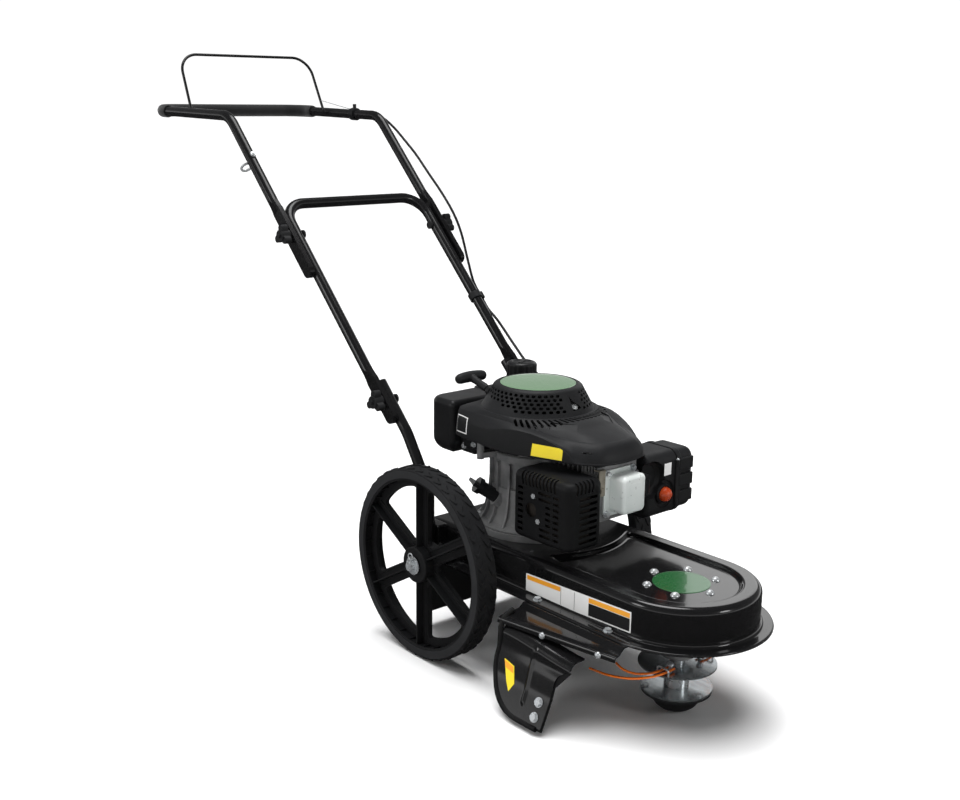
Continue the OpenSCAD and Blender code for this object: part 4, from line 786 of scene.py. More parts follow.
def window(k, count, inner, outer, half_spoke, corner, steps=6):
    """Rounded gap between two spokes of a wheel, as points in its plane."""
    mid = math.pi / 2 + 2 * math.pi * (k + 0.5) / count
    reach = math.pi / count
    corners = []
    for r, sign in ((inner, -1), (outer, -1), (outer, 1), (inner, 1)):
        a = mid + sign * (reach - math.asin(half_spoke[0 if r == inner else 1] / r))
        corners.append(Vector((r * math.cos(a), r * math.sin(a), 0)))
    a0 = math.atan2(corners[1].y, corners[1].x)
    a1 = math.atan2(corners[2].y, corners[2].x)
    a1 += 2 * math.pi if a1 < a0 else 0
    arc = [Vector((outer * math.cos(a0 + (a1 - a0) * i / 12), outer * math.sin(a0 + (a1 - a0) * i / 12), 0))
           for i in range(1, 12)]
    loop = [corners[0], corners[1], *arc, corners[2], corners[3]]
    out = []
    n = len(loop)
    for i, p in enumerate(loop):
        before, after = loop[i - 1], loop[(i + 1) % n]
        u, v = (p - before).normalized(), (after - p).normalized()
        angle = u.angle(v)
        if angle < math.radians(20):
            out.append(p)
            continue
        cut = min(corner * math.tan(angle / 2), 0.9 * (p - before).length, 0.9 * (after - p).length)
        r = cut / math.tan(angle / 2)
        side = (v - u * u.dot(v)).normalized()
        for j in range(steps + 1):
            a = angle * j / steps
            out.append(p - u * cut + u * r * math.sin(a) + side * r * (1 - math.cos(a)))
    return [(p.x, p.y) for p in out]


def filled(loops):
    """Bmesh of a flat sheet between closed loops of points."""
    bm = bmesh.new()
    for loop in loops:
        verts = [bm.verts.new(p) for p in loop]
        for a, b in zip(verts, verts[1:] + verts[:1]):
            bm.edges.new((a, b))
    bmesh.ops.triangle_fill(bm, edges=bm.edges[:], use_beauty=True, normal=(0, 0, 1))
    return bm


def plate_with_holes(outer, holes, low, high, edge):
    """Bmesh of a flat plate in x and y with holes and bevelled edges, in millimetres."""
    bm = filled([[(x, y, low) for x, y in loop] for loop in [outer, *holes]])
    made = bmesh.ops.extrude_face_region(bm, geom=bm.faces[:])
    for v in made["geom"]:
        if isinstance(v, bmesh.types.BMVert):
            v.co.z = high
    bmesh.ops.recalc_face_normals(bm, faces=bm.faces[:])
    flat = [e for e in bm.edges if len(e.link_faces) == 2 and e.calc_face_angle(1) < 0.01]
    bmesh.ops.dissolve_edges(bm, edges=flat, use_verts=False)
    sharp = [e for e in bm.edges if len(e.link_faces) == 2 and e.calc_face_angle(0) > math.radians(60)]
    bmesh.ops.bevel(bm, geom=sharp, offset=edge, segments=2, profile=0.5, affect="EDGES",
                    clamp_overlap=True)
    return bm


def taken(bm):
    """Verts and faces out of a bmesh."""
    bm.verts.index_update()
    got = [v.co.copy() for v in bm.verts], [[v.index for v in f.verts] for f in bm.faces]
    bm.free()
    return got


class TRIMMER_OT_wheels(bpy.types.Operator):
    """Mould the spoked wheels with their ribs, windows and hubs"""
    bl_idname = "trimmer.wheels"
    bl_label = "Wheels"

    def execute(self, context):
        holes = [window(k, SPOKES, 42, 141, (15, 16), 13) for k in range(SPOKES)]
        web = taken(plate_with_holes(ring_of(159, 120), holes + [ring_of(8.1, 32)], -4, 4, 1.2))
        rim = [(154.5, -20), (156, -20.6), (160, -20.8), (162.6, -20), (162.9, 0), (162.6, 20), (160, 20.8),
               (156, 20.6), (154.5, 20), (157.6, 5), (157.6, -5), (154.5, -20)]
        hub = [(8.1, -25), (12.4, -25), (13.2, -24.4), (13.6, -23.2), (31.4, -23.2), (33, -22), (33, 22),
               (31.4, 23.2), (13.6, 23.2), (13.2, 24.4), (12.4, 25), (8.1, 25), (8.1, -25)]
        flat = spun(90, "X")
        for side, sign in SIDES:
            centre = place(AXLE[0], sign * HALF_TRACK, AXLE[2])
            parts = [web]
            for profile, steps in ((rim, 120), (hub, 64)):
                v, f = turned(profile, Vector(), (0, 0, 1), steps)
                parts.append(([p / MM for p in v], f))
            for k in range(SPOKES):
                spin = spun(90 + 360 * k / SPOKES)
                for lo, hi in (((29, -1.5, -18), (157, 1.5, 18)), ((30, -13.5, -5.5), (150, -11.5, 5.5)),
                               ((30, 11.5, -5.5), (150, 13.5, 5.5))):
                    v, f = block(lo, hi, 0.7)
                    parts.append(([spin @ (p / MM) for p in v], f))
                for j in range(5):
                    tilt = spun(90 + 360 * (k + 0.5) / SPOKES + (j - 2) * 11)
                    v, f = block((153.4, -0.8, -18.5), (158.5, 0.8, 18.5), 0.35)
                    parts.append(([tilt @ (p / MM) for p in v], f))
            verts, faces = join(*parts)
            wheel = piece(f"wheel_moulding_{side}", [centre + flat @ (Vector(p) * MM) for p in verts],
                          faces)
            wear(wheel, "wheel", f"{side}_wheel", "wheel_plastic", [f"wheel_{side}"], 35)
        return {"FINISHED"}


def deck_ring(inset, z):
    """Plan of the deck at a distance in from its side wall, in millimetres."""
    r = DECK_R - inset
    rear = DECK_REAR + max(inset, 0)
    ring = [(rear * (1 - k / 16), r) for k in range(16)]
    ring += [(r * math.sin(math.pi * k / 64), r * math.cos(math.pi * k / 64)) for k in range(65)]
    ring += [(rear * k / 16, -r) for k in range(1, 17)]
    ring += [(rear, r * (k / 6 - 1)) for k in range(1, 12)]
    return [place(x, y, z) for x, y in ring]


def pan_ring(grow, z):
    """Plan of the sunk pan in front of the engine's seat, grown outward, with its corners eased."""
    r, wide = PAN_R + grow, ENGINE_SEAT_R - grow
    back = CRANK[0] + math.sqrt(wide * wide - r * r)
    reach = math.asin(r / wide)
    ring = [(r * math.sin(math.pi * k / 60), r * math.cos(math.pi * k / 60)) for k in range(60)]
    ring += [(back * k / 34, -r) for k in range(34)]
    ring += [(CRANK[0] + wide * math.cos(reach * (k / 16 - 1)), wide * math.sin(reach * (k / 16 - 1)))
             for k in range(32)]
    ring += [(back * (1 - k / 34), r) for k in range(34)]
    for _ in range(8):
        n = len(ring)
        ring = [tuple((ring[k - 1][i] + 2 * ring[k][i] + ring[(k + 1) % n][i]) / 4 for i in range(2))
                for k in range(n)]
    return [place(x, y, z) for x, y in ring]


def wall_patch(name, x0, x1, z0, z1, proud, coat, lean):
    """Thin plate that follows the deck's right side wall and nose, and may lean along it."""
    steps, rows = 40, 8
    verts = []
    for j in range(rows + 1):
        for k in range(steps + 1):
            x = x0 + (x1 - x0) * k / steps
            z = z0 + (z1 - z0) * j / rows + lean * (x - 9)
            if x <= 0:
                verts.append(place(x, -DECK_R - proud, z))
            else:
                a = x / DECK_R
                verts.append(place((DECK_R + proud) * math.sin(a), -(DECK_R + proud) * math.cos(a), z))
    obj = piece(name, verts, quads(steps, rows))
    obj.data.materials.append(finish_of(coat))
    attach(obj, "chassis")


class TRIMMER_OT_deck(bpy.types.Operator):
    """Press the deck with its rolled lip, rounded shoulder and sunk pan"""
    bl_idname = "trimmer.deck"
    bl_label = "Deck"

    def execute(self, context):
        rows = [(-21.4, 161.4), (-21.7, 163.0), (-21.0, 164.6), (-19.4, 165.5), (-17, 165.6), (-7, 165.5),
                (-3.4, 166.1), (-1.2, 167.7), (-0.2, 170.2), (0, 173), (0, 196)]
        shoulder = 12
        for k in range(9):
            a = math.pi / 2 * k / 8
            rows.append((shoulder * (1 - math.cos(a)), DECK_TOP - shoulder * (1 - math.sin(a))))
        rows.append((13.4, DECK_TOP))
        wall = skin([deck_ring(i, z) for i, z in rows])
        sink = [(7.5, DECK_TOP), (6, 230.9), (4.4, 230.4), (2.8, 229.2), (1.2, 227.2), (-0.3, 225.4),
                (-2, 224.4), (-3.6, 224.05), (-5.2, PAN_FLOOR)]
        pan = skin([pan_ring(g, z) for g, z in sink])
        top = taken(filled([deck_ring(13.4, DECK_TOP), pan_ring(7.5, DECK_TOP)]))
        base = pan_ring(-5.2, PAN_FLOOR)
        floor = base, [range(len(base))]
        deck = piece("deck_pressing", *join(wall, pan, top, floor))
        outward(deck)
        up = sum((f.normal.z * f.area for f in deck.data.polygons
                  if abs(f.center.z - DECK_TOP * MM) < 1e-4), 0.0)
        if up < 0:
            deck.data.flip_normals()
        smooth(sheeted(deck), 40)
        deck.data.materials.append(finish_of("paint"))
        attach(deck, "chassis")
        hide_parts("deck_shell")
        posts = []
        for sign in (-1, 1):
            y0, y1 = sorted((sign * 129, sign * 152.9))
            posts.append(block((-490, y0, 180), (-450, y1, 231.4), 3, 3))
        fit("leg_posts", join(*posts), "paint", "chassis", "deck_paint")
        badge = [(0, 0.6), (44, 0.6), (47.2, 0.55), (48, 0.2), (48, -0.2)]
        fit("deck_badge", turned(badge, place(0, 0, PAN_FLOOR + 0.1), (0, 0, 1), 96), "badge", "chassis")
        tilt = 0.036
        wall_patch("side_plate", -234, 9, 174, 210, 0.35, "white", tilt)
        wall_patch("side_plate_strip_rear", -231, -150, 199.5, 207.5, 0.6, "amber", tilt)
        wall_patch("side_plate_strip_front", -84, 6.5, 199, 207.5, 0.6, "amber", tilt)
        wall_patch("side_plate_panel", -84, 6.5, 176.5, 198, 0.6, "plastic", tilt)
        for k, x in enumerate((-149, -117)):
            wall_patch(f"side_plate_line_{k}", x, x + 0.8, 176.5, 207.5, 0.6, "plastic", tilt)
        return {"FINISHED"}


def guard_path(z):
    """Distance of the guard panel from the machine's middle at a height, in millimetres."""
    return along([(10, -252), (60, -231), (112, -216.6), (GUARD_TOP, -214.4)], z)


def bracket_edge(x):
    """Outer edge of the guard bracket, which draws in toward the front."""
    return -214 + 37 * (x - BRACKET_REAR) / BRACKET_LONG


def guard_left(z):
    """Rear edge of the guard panel at a height, rounded below."""
    drop = max(GUARD_CORNER_Z - z, 0)
    return GUARD_CORNER_X - math.sqrt(max(GUARD_CORNER_R ** 2 - drop ** 2, 0))


def guard_right(z):
    """Front edge of the guard panel at a height, flared above."""
    if z > 80:
        return -66 + 26 * min((z - 80) / 48, 1.0) ** 2.2
    return -66 - 2 * (80 - z) / 66


class TRIMMER_OT_guard(bpy.types.Operator):
    """Press the debris guard's bracket and beaded panel, with bolts, blank plates and rubber trim"""
    bl_idname = "trimmer.guard"
    bl_label = "Debris guard"

    def execute(self, context):
        columns = 120
        path = [(-182, 139.6), (-195, 139.4), (-203, 138.6), (-208, 136.6), (-211.4, 133.4),
                (-213.4, 129.6)]
        levels = [GUARD_TOP - (GUARD_TOP - GUARD_FOOT) * k / 40 for k in range(41)]
        ys = [guard_path(z) for z in levels]
        for _ in range(4):
            ys = [ys[0]] + [(a + 2 * b + c) / 4 for a, b, c in zip(ys, ys[1:], ys[2:])] + [ys[-1]]
        path += list(zip(ys, levels))
        verts = []
        for y, z in path:
            left, right = guard_left(z), guard_right(z)
            for k in range(columns + 1):
                x = left + (right - left) * k / columns
                rise = 2.8 * math.exp(-((x + 121) / 2.8) ** 2)
                rise *= min(1.0, max(0.0, (134 - z) / 6), max(0.0, (z - 34) / 6))
                verts.append(place(x, y - max(rise, 0),
                                   z - 13 * eased((x + 190) / 160) * eased((z - 90) / 40)))
        panel = piece("guard_panel", verts, quads(columns, len(path) - 1))
        wear(sheeted(panel, SHEET, 0), "paint", "chassis", "deck_paint", ["debris_guard"], 50)
        rings = []
        for x in [BRACKET_REAR + BRACKET_LONG * k / 24 for k in range(25)]:
            edge = bracket_edge(x)
            line = [(-126, 160.4), (-157, 160.4), (-166, 152.4), (edge + 9, 150.6), (edge, 148.6),
                    (edge - 0.4, 141.4)]
            path = bends([Vector((0, y, z)) for y, z in line], [4, 3, 5, 3.5], 6)
            ring = []
            for i, p in enumerate(path):
                t = (path[min(i + 1, len(path) - 1)] - path[max(i - 1, 0)]).normalized()
                ring.append((p + Vector((0, -t.z, t.y)) * 1.25, p - Vector((0, -t.z, t.y)) * 1.25))
            rings.append([place(x, a.y, a.z) for a, b in ring]
                         + [place(x, b.y, b.z) for a, b in ring[::-1]])
        bracket = piece("guard_bracket_pressing", *skin(rings, capped=True))
        wear(outward(bracket), "paint", "chassis", "deck_paint", ["guard_bracket"], 40)
        head = [(0.01, 4.6), (2.6, 4.4), (4.4, 3.2), (5.4, 1.2), (5.6, -0.4), (5.6, -1.4)]
        bolts = [turned(head, place(x, bracket_edge(x) - 1.6, 145), (-0.16, -1, 0), 28)
                 for x in (-11, -120)]
        fit("bracket_bolts", join(*bolts), "zinc", "chassis", "zinc")
        sign = [(-183, 89), (-158.5, 84), (-149.5, 58), (-157, 44), (-167.5, 56)]
        band = [(-182, 87.6), (-159.6, 82.8), (-156, 73), (-177, 77)]
        plates = (("guard_plate", sign, 2.0, "yellow"), ("guard_plate_band", band, 2.3, "amber"))
        for name, dots, proud, colour in plates:
            face = [place(x, guard_path(z) - proud, z) for x, z in dots]
            back = [place(x, guard_path(z) - 0.4, z) for x, z in dots]
            fit(name, skin([back, face], capped=True), colour, "chassis")
        rim = [(-206, -186, 158), (-206, -203, 152), (-205, -213, 140), (-203, -217, 120),
               (-202, guard_path(104), 104)]
        for k in range(19):
            a = math.radians(180 + 90 * k / 18)
            z = GUARD_CORNER_Z + (GUARD_CORNER_R + 3) * math.sin(a)
            rim.append((GUARD_CORNER_X + (GUARD_CORNER_R + 3) * math.cos(a), guard_path(z), z))
        rim += [(-100, guard_path(11), 11), (-78, guard_path(11), 11.5)]
        path = route([place(*p) for p in rim], 3)
        fit("guard_edge_trim", sweep(path, 0.0046, 16), "flap", "chassis", "flap_rubber")
        return {"FINISHED"}


def hull_of(points):
    """Convex outline of points in a plane."""
    points = sorted(set(points))

    def half(run):
        out = []
        for p in run:
            while len(out) > 1 and ((out[-1][0] - out[-2][0]) * (p[1] - out[-2][1])
                                    - (out[-1][1] - out[-2][1]) * (p[0] - out[-2][0])) <= 0:
                out.pop()
            out.append(p)
        return out[:-1]

    return half(points) + half(points[::-1])


def lobes_at(shrink):
    """Outline round the shroud's lobes, each drawn in by its own amount."""
    dots = []
    for (x, y, r), less in zip(((-78, 82, 35), (-78, -82, 35), (30, 0, 126), (138, 0, 92)), shrink):
        dots += ring_of(r - less, 180, x, y)
    return hull_of(dots)


def ray_out(outline, angle):
    """Where a ray from the crankshaft leaves an outline."""
    ux, uy = math.cos(angle), math.sin(angle)
    for (ax, ay), (bx, by) in zip(outline, outline[1:] + outline[:1]):
        ex, ey = bx - ax, by - ay
        det = ux * ey - uy * ex
        if abs(det) < 1e-12:
            continue
        t = (ax * ey - ay * ex) / det
        s = (ax * uy - ay * ux) / det
        if t > 0 and -1e-9 <= s <= 1 + 1e-9:
            return Vector((t * ux, t * uy))
    raise ValueError("the ray misses the outline")


def eased(t):
    """Smooth step from 0 to 1."""
    t = min(max(t, 0.0), 1.0)
    return t * t * (3 - 2 * t)


def along(table, x):
    """Value at x on a line through a table of places and values."""
    for (x0, v0), (x1, v1) in zip(table, table[1:]):
        if x <= x1:
            return v0 + (v1 - v0) * max(x - x0, 0.0) / (x1 - x0)
    return table[-1][1]


# Shroud tables in millimetres: height of the crease along it, and reach of the nose up it
SHROUD_CREASE = [(-120, 26), (-60, 28), (-4, 31), (20, 36), (43, 41), (60, 43.5), (76, 44), (100, 41.5),
                 (126, 35.5), (141, 30.5), (153, 25), (162, 20), (170, 13.5), (178, 5.5), (186, 4),
                 (240, 4)]
SHROUD_NOSE = [(0, 216), (8, 214.5), (18, 210.5), (29, 203), (36, 187), (42, 160), (47, 130)]


def shroud_column(a, low, high):
    """Points up the shroud at one bearing, from its skirt over the crease to its upper rim."""
    foot, brow = ray_out(low, a), ray_out(high, a)
    out = foot.normalized()
    edge = along(SHROUD_CREASE, foot.x)
    top = 50 - 17 * eased((foot.x - 40) / 170)
    edge = min(edge, top - 3.5)
    sharp = 1.5 - 0.35 * eased((foot.x - 150) / 60)
    column = [(foot - out * 3, 0.0), (foot - out * 0.8, 0.2), (foot, 1.6)]
    for j in range(1, 11):
        t = j / 10
        column.append((foot - out * 1.6 * t * t, 1.6 + (edge - 1.6) * t))
    shelf = column[-1][0]
    for j in range(1, 15):
        t = math.pi / 2 * j / 14
        p = brow + (shelf - brow) * math.cos(t) ** sharp
        column.append((p, edge + (top - edge) * math.sin(t) ** sharp))
    rim = Vector((math.cos(a), math.sin(a))) * 104
    for j in range(1, 9):
        t = j / 8
        column.append((brow + (rim - brow) * t, top + (57 - top) * (1 - (1 - t) ** 1.7)))
    column.append((rim * (101.5 / 104), 56.8))
    column.append((rim * (100.5 / 104), 48))
    gutter = 1.8 * eased((foot.x - 70) / 50) * eased((196 - foot.x) / 14)
    # The gutter runs just above the crease, which is row 12
    ring = []
    for j, (p, z) in enumerate(column):
        beyond = j - 12
        q = p - out * gutter * (math.exp(-((beyond - 2.2) / 1.5) ** 2) if beyond > 0 else 0.0)
        flat = along(SHROUD_NOSE, z)
        if q.x > flat:
            q = Vector((flat + (q.x - flat) * 0.6, q.y))
        ring.append(engine(q.x, q.y, SHROUD_FOOT + z))
    return ring


def laid_on(obj, name, corners, proud, coat):
    """Thin blank plate laid on a moulding's surface, from its four corners on the shroud."""
    low_left, low_right, high_right, high_left = (engine(x, y, SHROUD_FOOT + z) for x, y, z in corners)
    across, up = 16, 10
    sheets = []
    for lift in (-0.4, proud):
        sheet = []
        for j in range(up + 1):
            for k in range(across + 1):
                u, v = k / across, j / up
                low = low_left * (1 - u) + low_right * u
                high = high_left * (1 - u) + high_right * u
                spot = low * (1 - v) + high * v
                spot = spot + ((spot - engine(40, 0, 0)) * Vector((1, 1, 0))).normalized() * 7 * MM
                _, at, normal, _ = obj.closest_point_on_mesh(spot)
                sheet.append(at + normal * lift * MM)
        sheets.append(sheet)
    n, m = across + 1, (across + 1) * (up + 1)
    faces = quads(across, up, m)
    edge = list(range(n)) + [j * n + across for j in range(1, up + 1)]
    edge += [up * n + k for k in range(across - 1, -1, -1)] + [j * n for j in range(up - 1, 0, -1)]
    faces += [(a, b, m + b, m + a) for a, b in zip(edge, edge[1:] + edge[:1])]
    fit(name, (sheets[0] + sheets[1], faces), coat, "chassis")


class TRIMMER_OT_shroud(bpy.types.Operator):
    """Mould the blower shroud with its creased side, flattened nose, louvres and pocket"""
    bl_idname = "trimmer.shroud"
    bl_label = "Blower shroud"

    def execute(self, context):
        low, high = lobes_at((0, 0, 0, 0)), lobes_at((7, 7, 20, 28))
        columns = [shroud_column(2 * math.pi * k / 360, low, high) for k in range(360)]
        rings = list(zip(*columns))
        shroud = outward(piece("shroud_moulding", *skin(rings)))
        if sum(f.normal.z * f.area for f in shroud.data.polygons) < 0:
            shroud.data.flip_normals()
        sheeted(shroud)
        slots, pockets = [], []
        for k in range(25):
            a = math.radians(-62 + 124 * k / 24)
            turn = Matrix.Rotation(a + math.radians(32), 4, "Z")
            spot = engine(117 * math.cos(a), 117 * math.sin(a), 222)
            slots.append(moved(block((-10, -2.4, -10), (10, 2.4, 10), 1.6), spot, turn))
        for sign in (-1, 1):
            _, at, face, _ = shroud.closest_point_on_mesh(engine(125, sign * 57, SHROUD_FOOT + 60))
            run = Vector((37, -sign * 30, 0)).normalized()
            run = (run - face * run.dot(face)).normalized()
            turn = Matrix((run, face.cross(run), face)).transposed()
            pockets.append(moved(block((-24, -9, -2.1), (24, 9, 9), 1.2), at, turn))
            turn = spun(-138 * sign)
            spot = engine(192, sign * 66, SHROUD_FOOT + 20)
            slots.append(moved(block((-16, -8, -1.3), (16, 8, 1.3), 0.8), spot, turn))
        cut_away(shroud, piece("pocket_cutter", *join(*pockets)))
        cut_away(shroud, piece("louvre_cutter", *join(*slots)))
        wear(shroud, "plastic", "chassis", "shroud_plastic", ["blower_shroud"], 24)
        laid_on(shroud, "shroud_plate", ((99, -110, 4), (153, -92, 4), (153, -88, 25), (101, -108, 26)),
                0.4, "yellow")
        laid_on(shroud, "rear_plate", ((-88, -118, 9), (-55, -119, 9), (-55, -119, 42), (-88, -115, 42)),
                0.4, "white")
        laid_on(shroud, "rear_plate_face", ((-86, -118, 11), (-57, -119, 11), (-57, -119, 40),
                                            (-86, -115, 40)), 0.7, "tank")
        outline = [(x, y) for x, y in lobes_at((9, 9, 12, 12)) if x < 118]
        rings = [[engine(x, y, z) for x, y in outline] for z in (163.6, 168.6)]
        fit("blower_plate", skin(rings, capped=True), "tank", "chassis", "shroud_plastic")
        return {"FINISHED"}


def vent_wall(columns, centre, low, high):
    """Cone of sheared cells, most of them holed, between two rings of radius and height in millimetres."""
    rows, shear, dots = 5, 0.4, 12
    side = Vector((0, 0, 1)).orthogonal().normalized()
    up = Vector((0, 0, 1)).cross(side)

    def spot(angle, t, deep=0.0):
        r = low[0] + (high[0] - low[0]) * t - deep * 0.88
        h = low[1] + (high[1] - low[1]) * t - deep * 0.47
        return centre + ((side * math.cos(angle) + up * math.sin(angle)) * r + Vector((0, 0, h))) * MM

    zero = math.atan2(side.y, side.x)
    verts, faces = [], []
    pitch = 2 * math.pi / columns
    for k in range(columns):
        for j in range(rows):
            a0, t0 = (k + shear * (rows - 1 - j)) * pitch, j / rows
            bearing = math.degrees((a0 + pitch / 2 + zero + math.pi) % (2 * math.pi) - math.pi)
            rim = [(0, 0), (0.5, 0), (1, 0), (1, 0.5), (1, 1), (0.5, 1), (0, 1), (0, 0.5)]
            base = len(verts)
            verts += [spot(a0 + u * pitch, t0 + w / rows) for u, w in rim]
            holed = 14 < abs(bearing - 1) < 164 and not -149 < bearing < -124
            holed = holed and (j > 2 or abs(bearing) < 70 + 22 * j)
            if not holed:
                faces.append(tuple(base + i for i in range(8)))
                continue
            for deep in (0.0, 0.5, 2.6):
                grow = 1.0 if deep else 1.12
                for i in range(dots):
                    q = 2 * math.pi * i / dots - 3 * math.pi / 4
                    c, s = math.cos(q), math.sin(q)
                    u = math.copysign(abs(c) ** 0.7, c) * 0.3 * grow
                    w = math.copysign(abs(s) ** 0.7, s) * 0.35 * grow
                    verts.append(spot(a0 + (0.5 + u) * pitch, t0 + (0.5 + w) / rows, deep))
            ring = base + 8
            for i in range(8):
                lo, hi = round(1.5 * i), round(1.5 * (i + 1))
                mids = [ring + m % dots for m in range(hi, lo - 1, -1)]
                faces.append((base + i, base + (i + 1) % 8, *mids))
            for level in range(2):
                for i in range(dots):
                    p = ring + level * dots
                    faces.append((p + i, p + (i + 1) % dots, p + dots + (i + 1) % dots, p + dots + i))
    return verts, faces


class TRIMMER_OT_starter(bpy.types.Operator):
    """Mould the perforated starter cover, its plain badge, the pull handle and the rope"""
    bl_idname = "trimmer.starter"
    bl_label = "Starter"

    def execute(self, context):
        columns = sizes().vents
        wall = [(105, 0), (105.2, 3.2), (103.6, 5.4), (101, 8.8), (99.4, 11.2), (98.4, 12.8)]
        brow = [(81.2, 44.4), (80.2, 45.8), (78.8, 47), (76.4, 48.5), (73.2, 49.6), (70.5, 50), (70, 49.2),
                (69, 49), (0.01, 49)]
        centre = engine(0, 0, DOME_FOOT)
        parts = [turned(profile, centre, (0, 0, 1), columns * 2) for profile in (wall, brow)]
        parts.append(vent_wall(columns, centre, wall[-1], brow[0]))
        cover = outward(piece("starter_dome", *join(*parts)))
        bay = []
        for r in (60, 125):
            for deg, t in ((-3.5, 0.9), (-3.2, 0.1), (9.5, 0.16), (8.0, 0.3)):
                q = math.radians(deg)
                z = DOME_FOOT + 12.8 + 28.4 * t - (r - 92) * 0.1
                bay.append(engine(r * math.cos(q), r * math.sin(q), z))
        walls = [(0, 1, 2, 3), (7, 6, 5, 4), (0, 4, 5, 1), (1, 5, 6, 2), (2, 6, 7, 3), (3, 7, 4, 0)]
        cut_away(cover, outward(piece("bay_cutter", bay, walls)))
        screw = [(0.01, 3.2), (1.2, 3.2), (1.6, 2.2), (3.4, 2.8), (4.4, 1.8), (4.6, 0.6), (7, 0.5),
                 (7, -0.6), (2, -1), (2, -14)]
        fit("starter_screw", turned(screw, engine(88, 5.5, 239), (0.6, 0, 0.8), 24), "zinc", "chassis",
            "zinc")
        wear(cover, "plastic", "chassis", "shroud_plastic", ["starter_cover"], 28)
        badge = [(0.01, 1.5), (40, 1.3), (60, 0.9), (67, 0.6), (68.6, 0.2), (68.8, -0.3)]
        # The badge's pale green is its own green plus a painted reflection
        fit("starter_badge", turned(badge, engine(0, 0, 268.3), (0, 0, 1), 96), "dome_badge", "chassis")
        tilt = math.radians(16.7)
        way = Vector((-math.cos(tilt), 0, math.sin(tilt)))
        foot = engine(-63, -60, 249.1)
        bush = [(3.2, -4), (3.2, 4.5), (4.4, 6), (6.6, 6), (8.6, 4), (9.6, 0), (10, -5)]
        fit("rope_bush", turned(bush, foot, way, 32), "tank", "chassis", "shroud_plastic")
        neck = foot + way * 0.058
        stem = [foot + way * (0.0085 + 0.0495 * k / 8) for k in range(9)]
        radii = [0.0062, 0.0074, 0.0072, 0.0068, 0.0066, 0.0067, 0.0072, 0.0084, 0.0095]
        half = [(1, 0.003), (0.97, 0.0058), (0.9, 0.0082), (0.75, 0.0095), (0.5, 0.0101), (0.25, 0.0103)]
        table = [(-u, r) for u, r in half] + [(0, 0.0104)] + half[::-1]
        bar = [neck + Vector((0, 0.0345 * u, 0)) - way * (0.004 * u * u) for u, r in table]
        thick = [r for u, r in table]
        pull = piece("pull_handle", *join(sweep(stem, radii, 24), sweep(bar, thick, 24)))
        wear(pull, "plastic", "recoil_handle", "shroud_plastic", ["recoil_handle"], 60)
        a, b = foot - way * 0.012, foot + way * 0.0079
        strung("pull_rope", straight(a, b), 0.002, 12, "rope", "starter_rope")
        return {"FINISHED"}


class TRIMMER_OT_muffler(bpy.types.Operator):
    """Press the muffler guard with its rows of slots"""
    bl_idname = "trimmer.muffler"
    bl_label = "Muffler guard"

    def execute(self, context):
        def plan(inset, r, z):
            ring = rounded_ring(142 - 2 * inset, 83 - 2 * inset, [r] * 4)
            return [engine(79 + inset + x, -134 + inset + y, 32 + z) for x, y in ring]

        rows = []
        foot_r, brow_r, straight_top = 10, 12, 107
        for k in range(7):
            a = math.pi / 2 * k / 6
            rows.append((foot_r - foot_r * math.sin(a), foot_r - foot_r * math.cos(a)))
        rows += [(0, 60), (0, straight_top)]
        for k in range(1, 8):
            a = math.pi / 2 * k / 7
            rows.append((brow_r - brow_r * math.cos(a), straight_top + brow_r * math.sin(a)))
        rings = [plan(i, 18 - min(i, brow_r) * 0.6, z) for i, z in rows]
        shell = outward(piece("muffler_guard_pressing", *skin(rings, capped=True)))
        sheeted(shell, 0.0022)
        bars = []

        def bar(lo, hi, turn=None):
            bars.append(moved(block(lo, hi, 1.4, 2, turn), engine(84, -134, 32)))

        for k in range(10):
            bar((20 + 8.6 * k, -6, 97), (24.4 + 8.6 * k, 13, 125), spun(-14, "Y"))
        for k in range(5):
            bar((126, 18 + 9 * k, 99), (146, 22.4 + 9 * k, 125), spun(-14, "X"))
        for k in range(8):
            z = 14 + 10.6 * k
            bar((12, -6, z), (26, 6, z + 5))
            bar((98, -6, z), (112, 6, z + 5))
            bar((66 if k < 2 else 80 if k < 6 else 62, -6, z), (92, 6, z + 5))
        for k in range(8):
            z = 13 + 10.8 * k
            bar((128, 24, z), (146, 66, z + 5.4))
        port = [(0.01, -9), (13, -9), (13, 9), (0.01, 9)]
        bars.append(turned(port, engine(129, -134, 88), (0, 1, 0), 32))
        cut_away(shell, outward(piece("slot_cutter", *join(*bars))))
        wear(shell, "guard", "chassis", "guard_paint", ["muffler_guard"], 32)
        return {"FINISHED"}


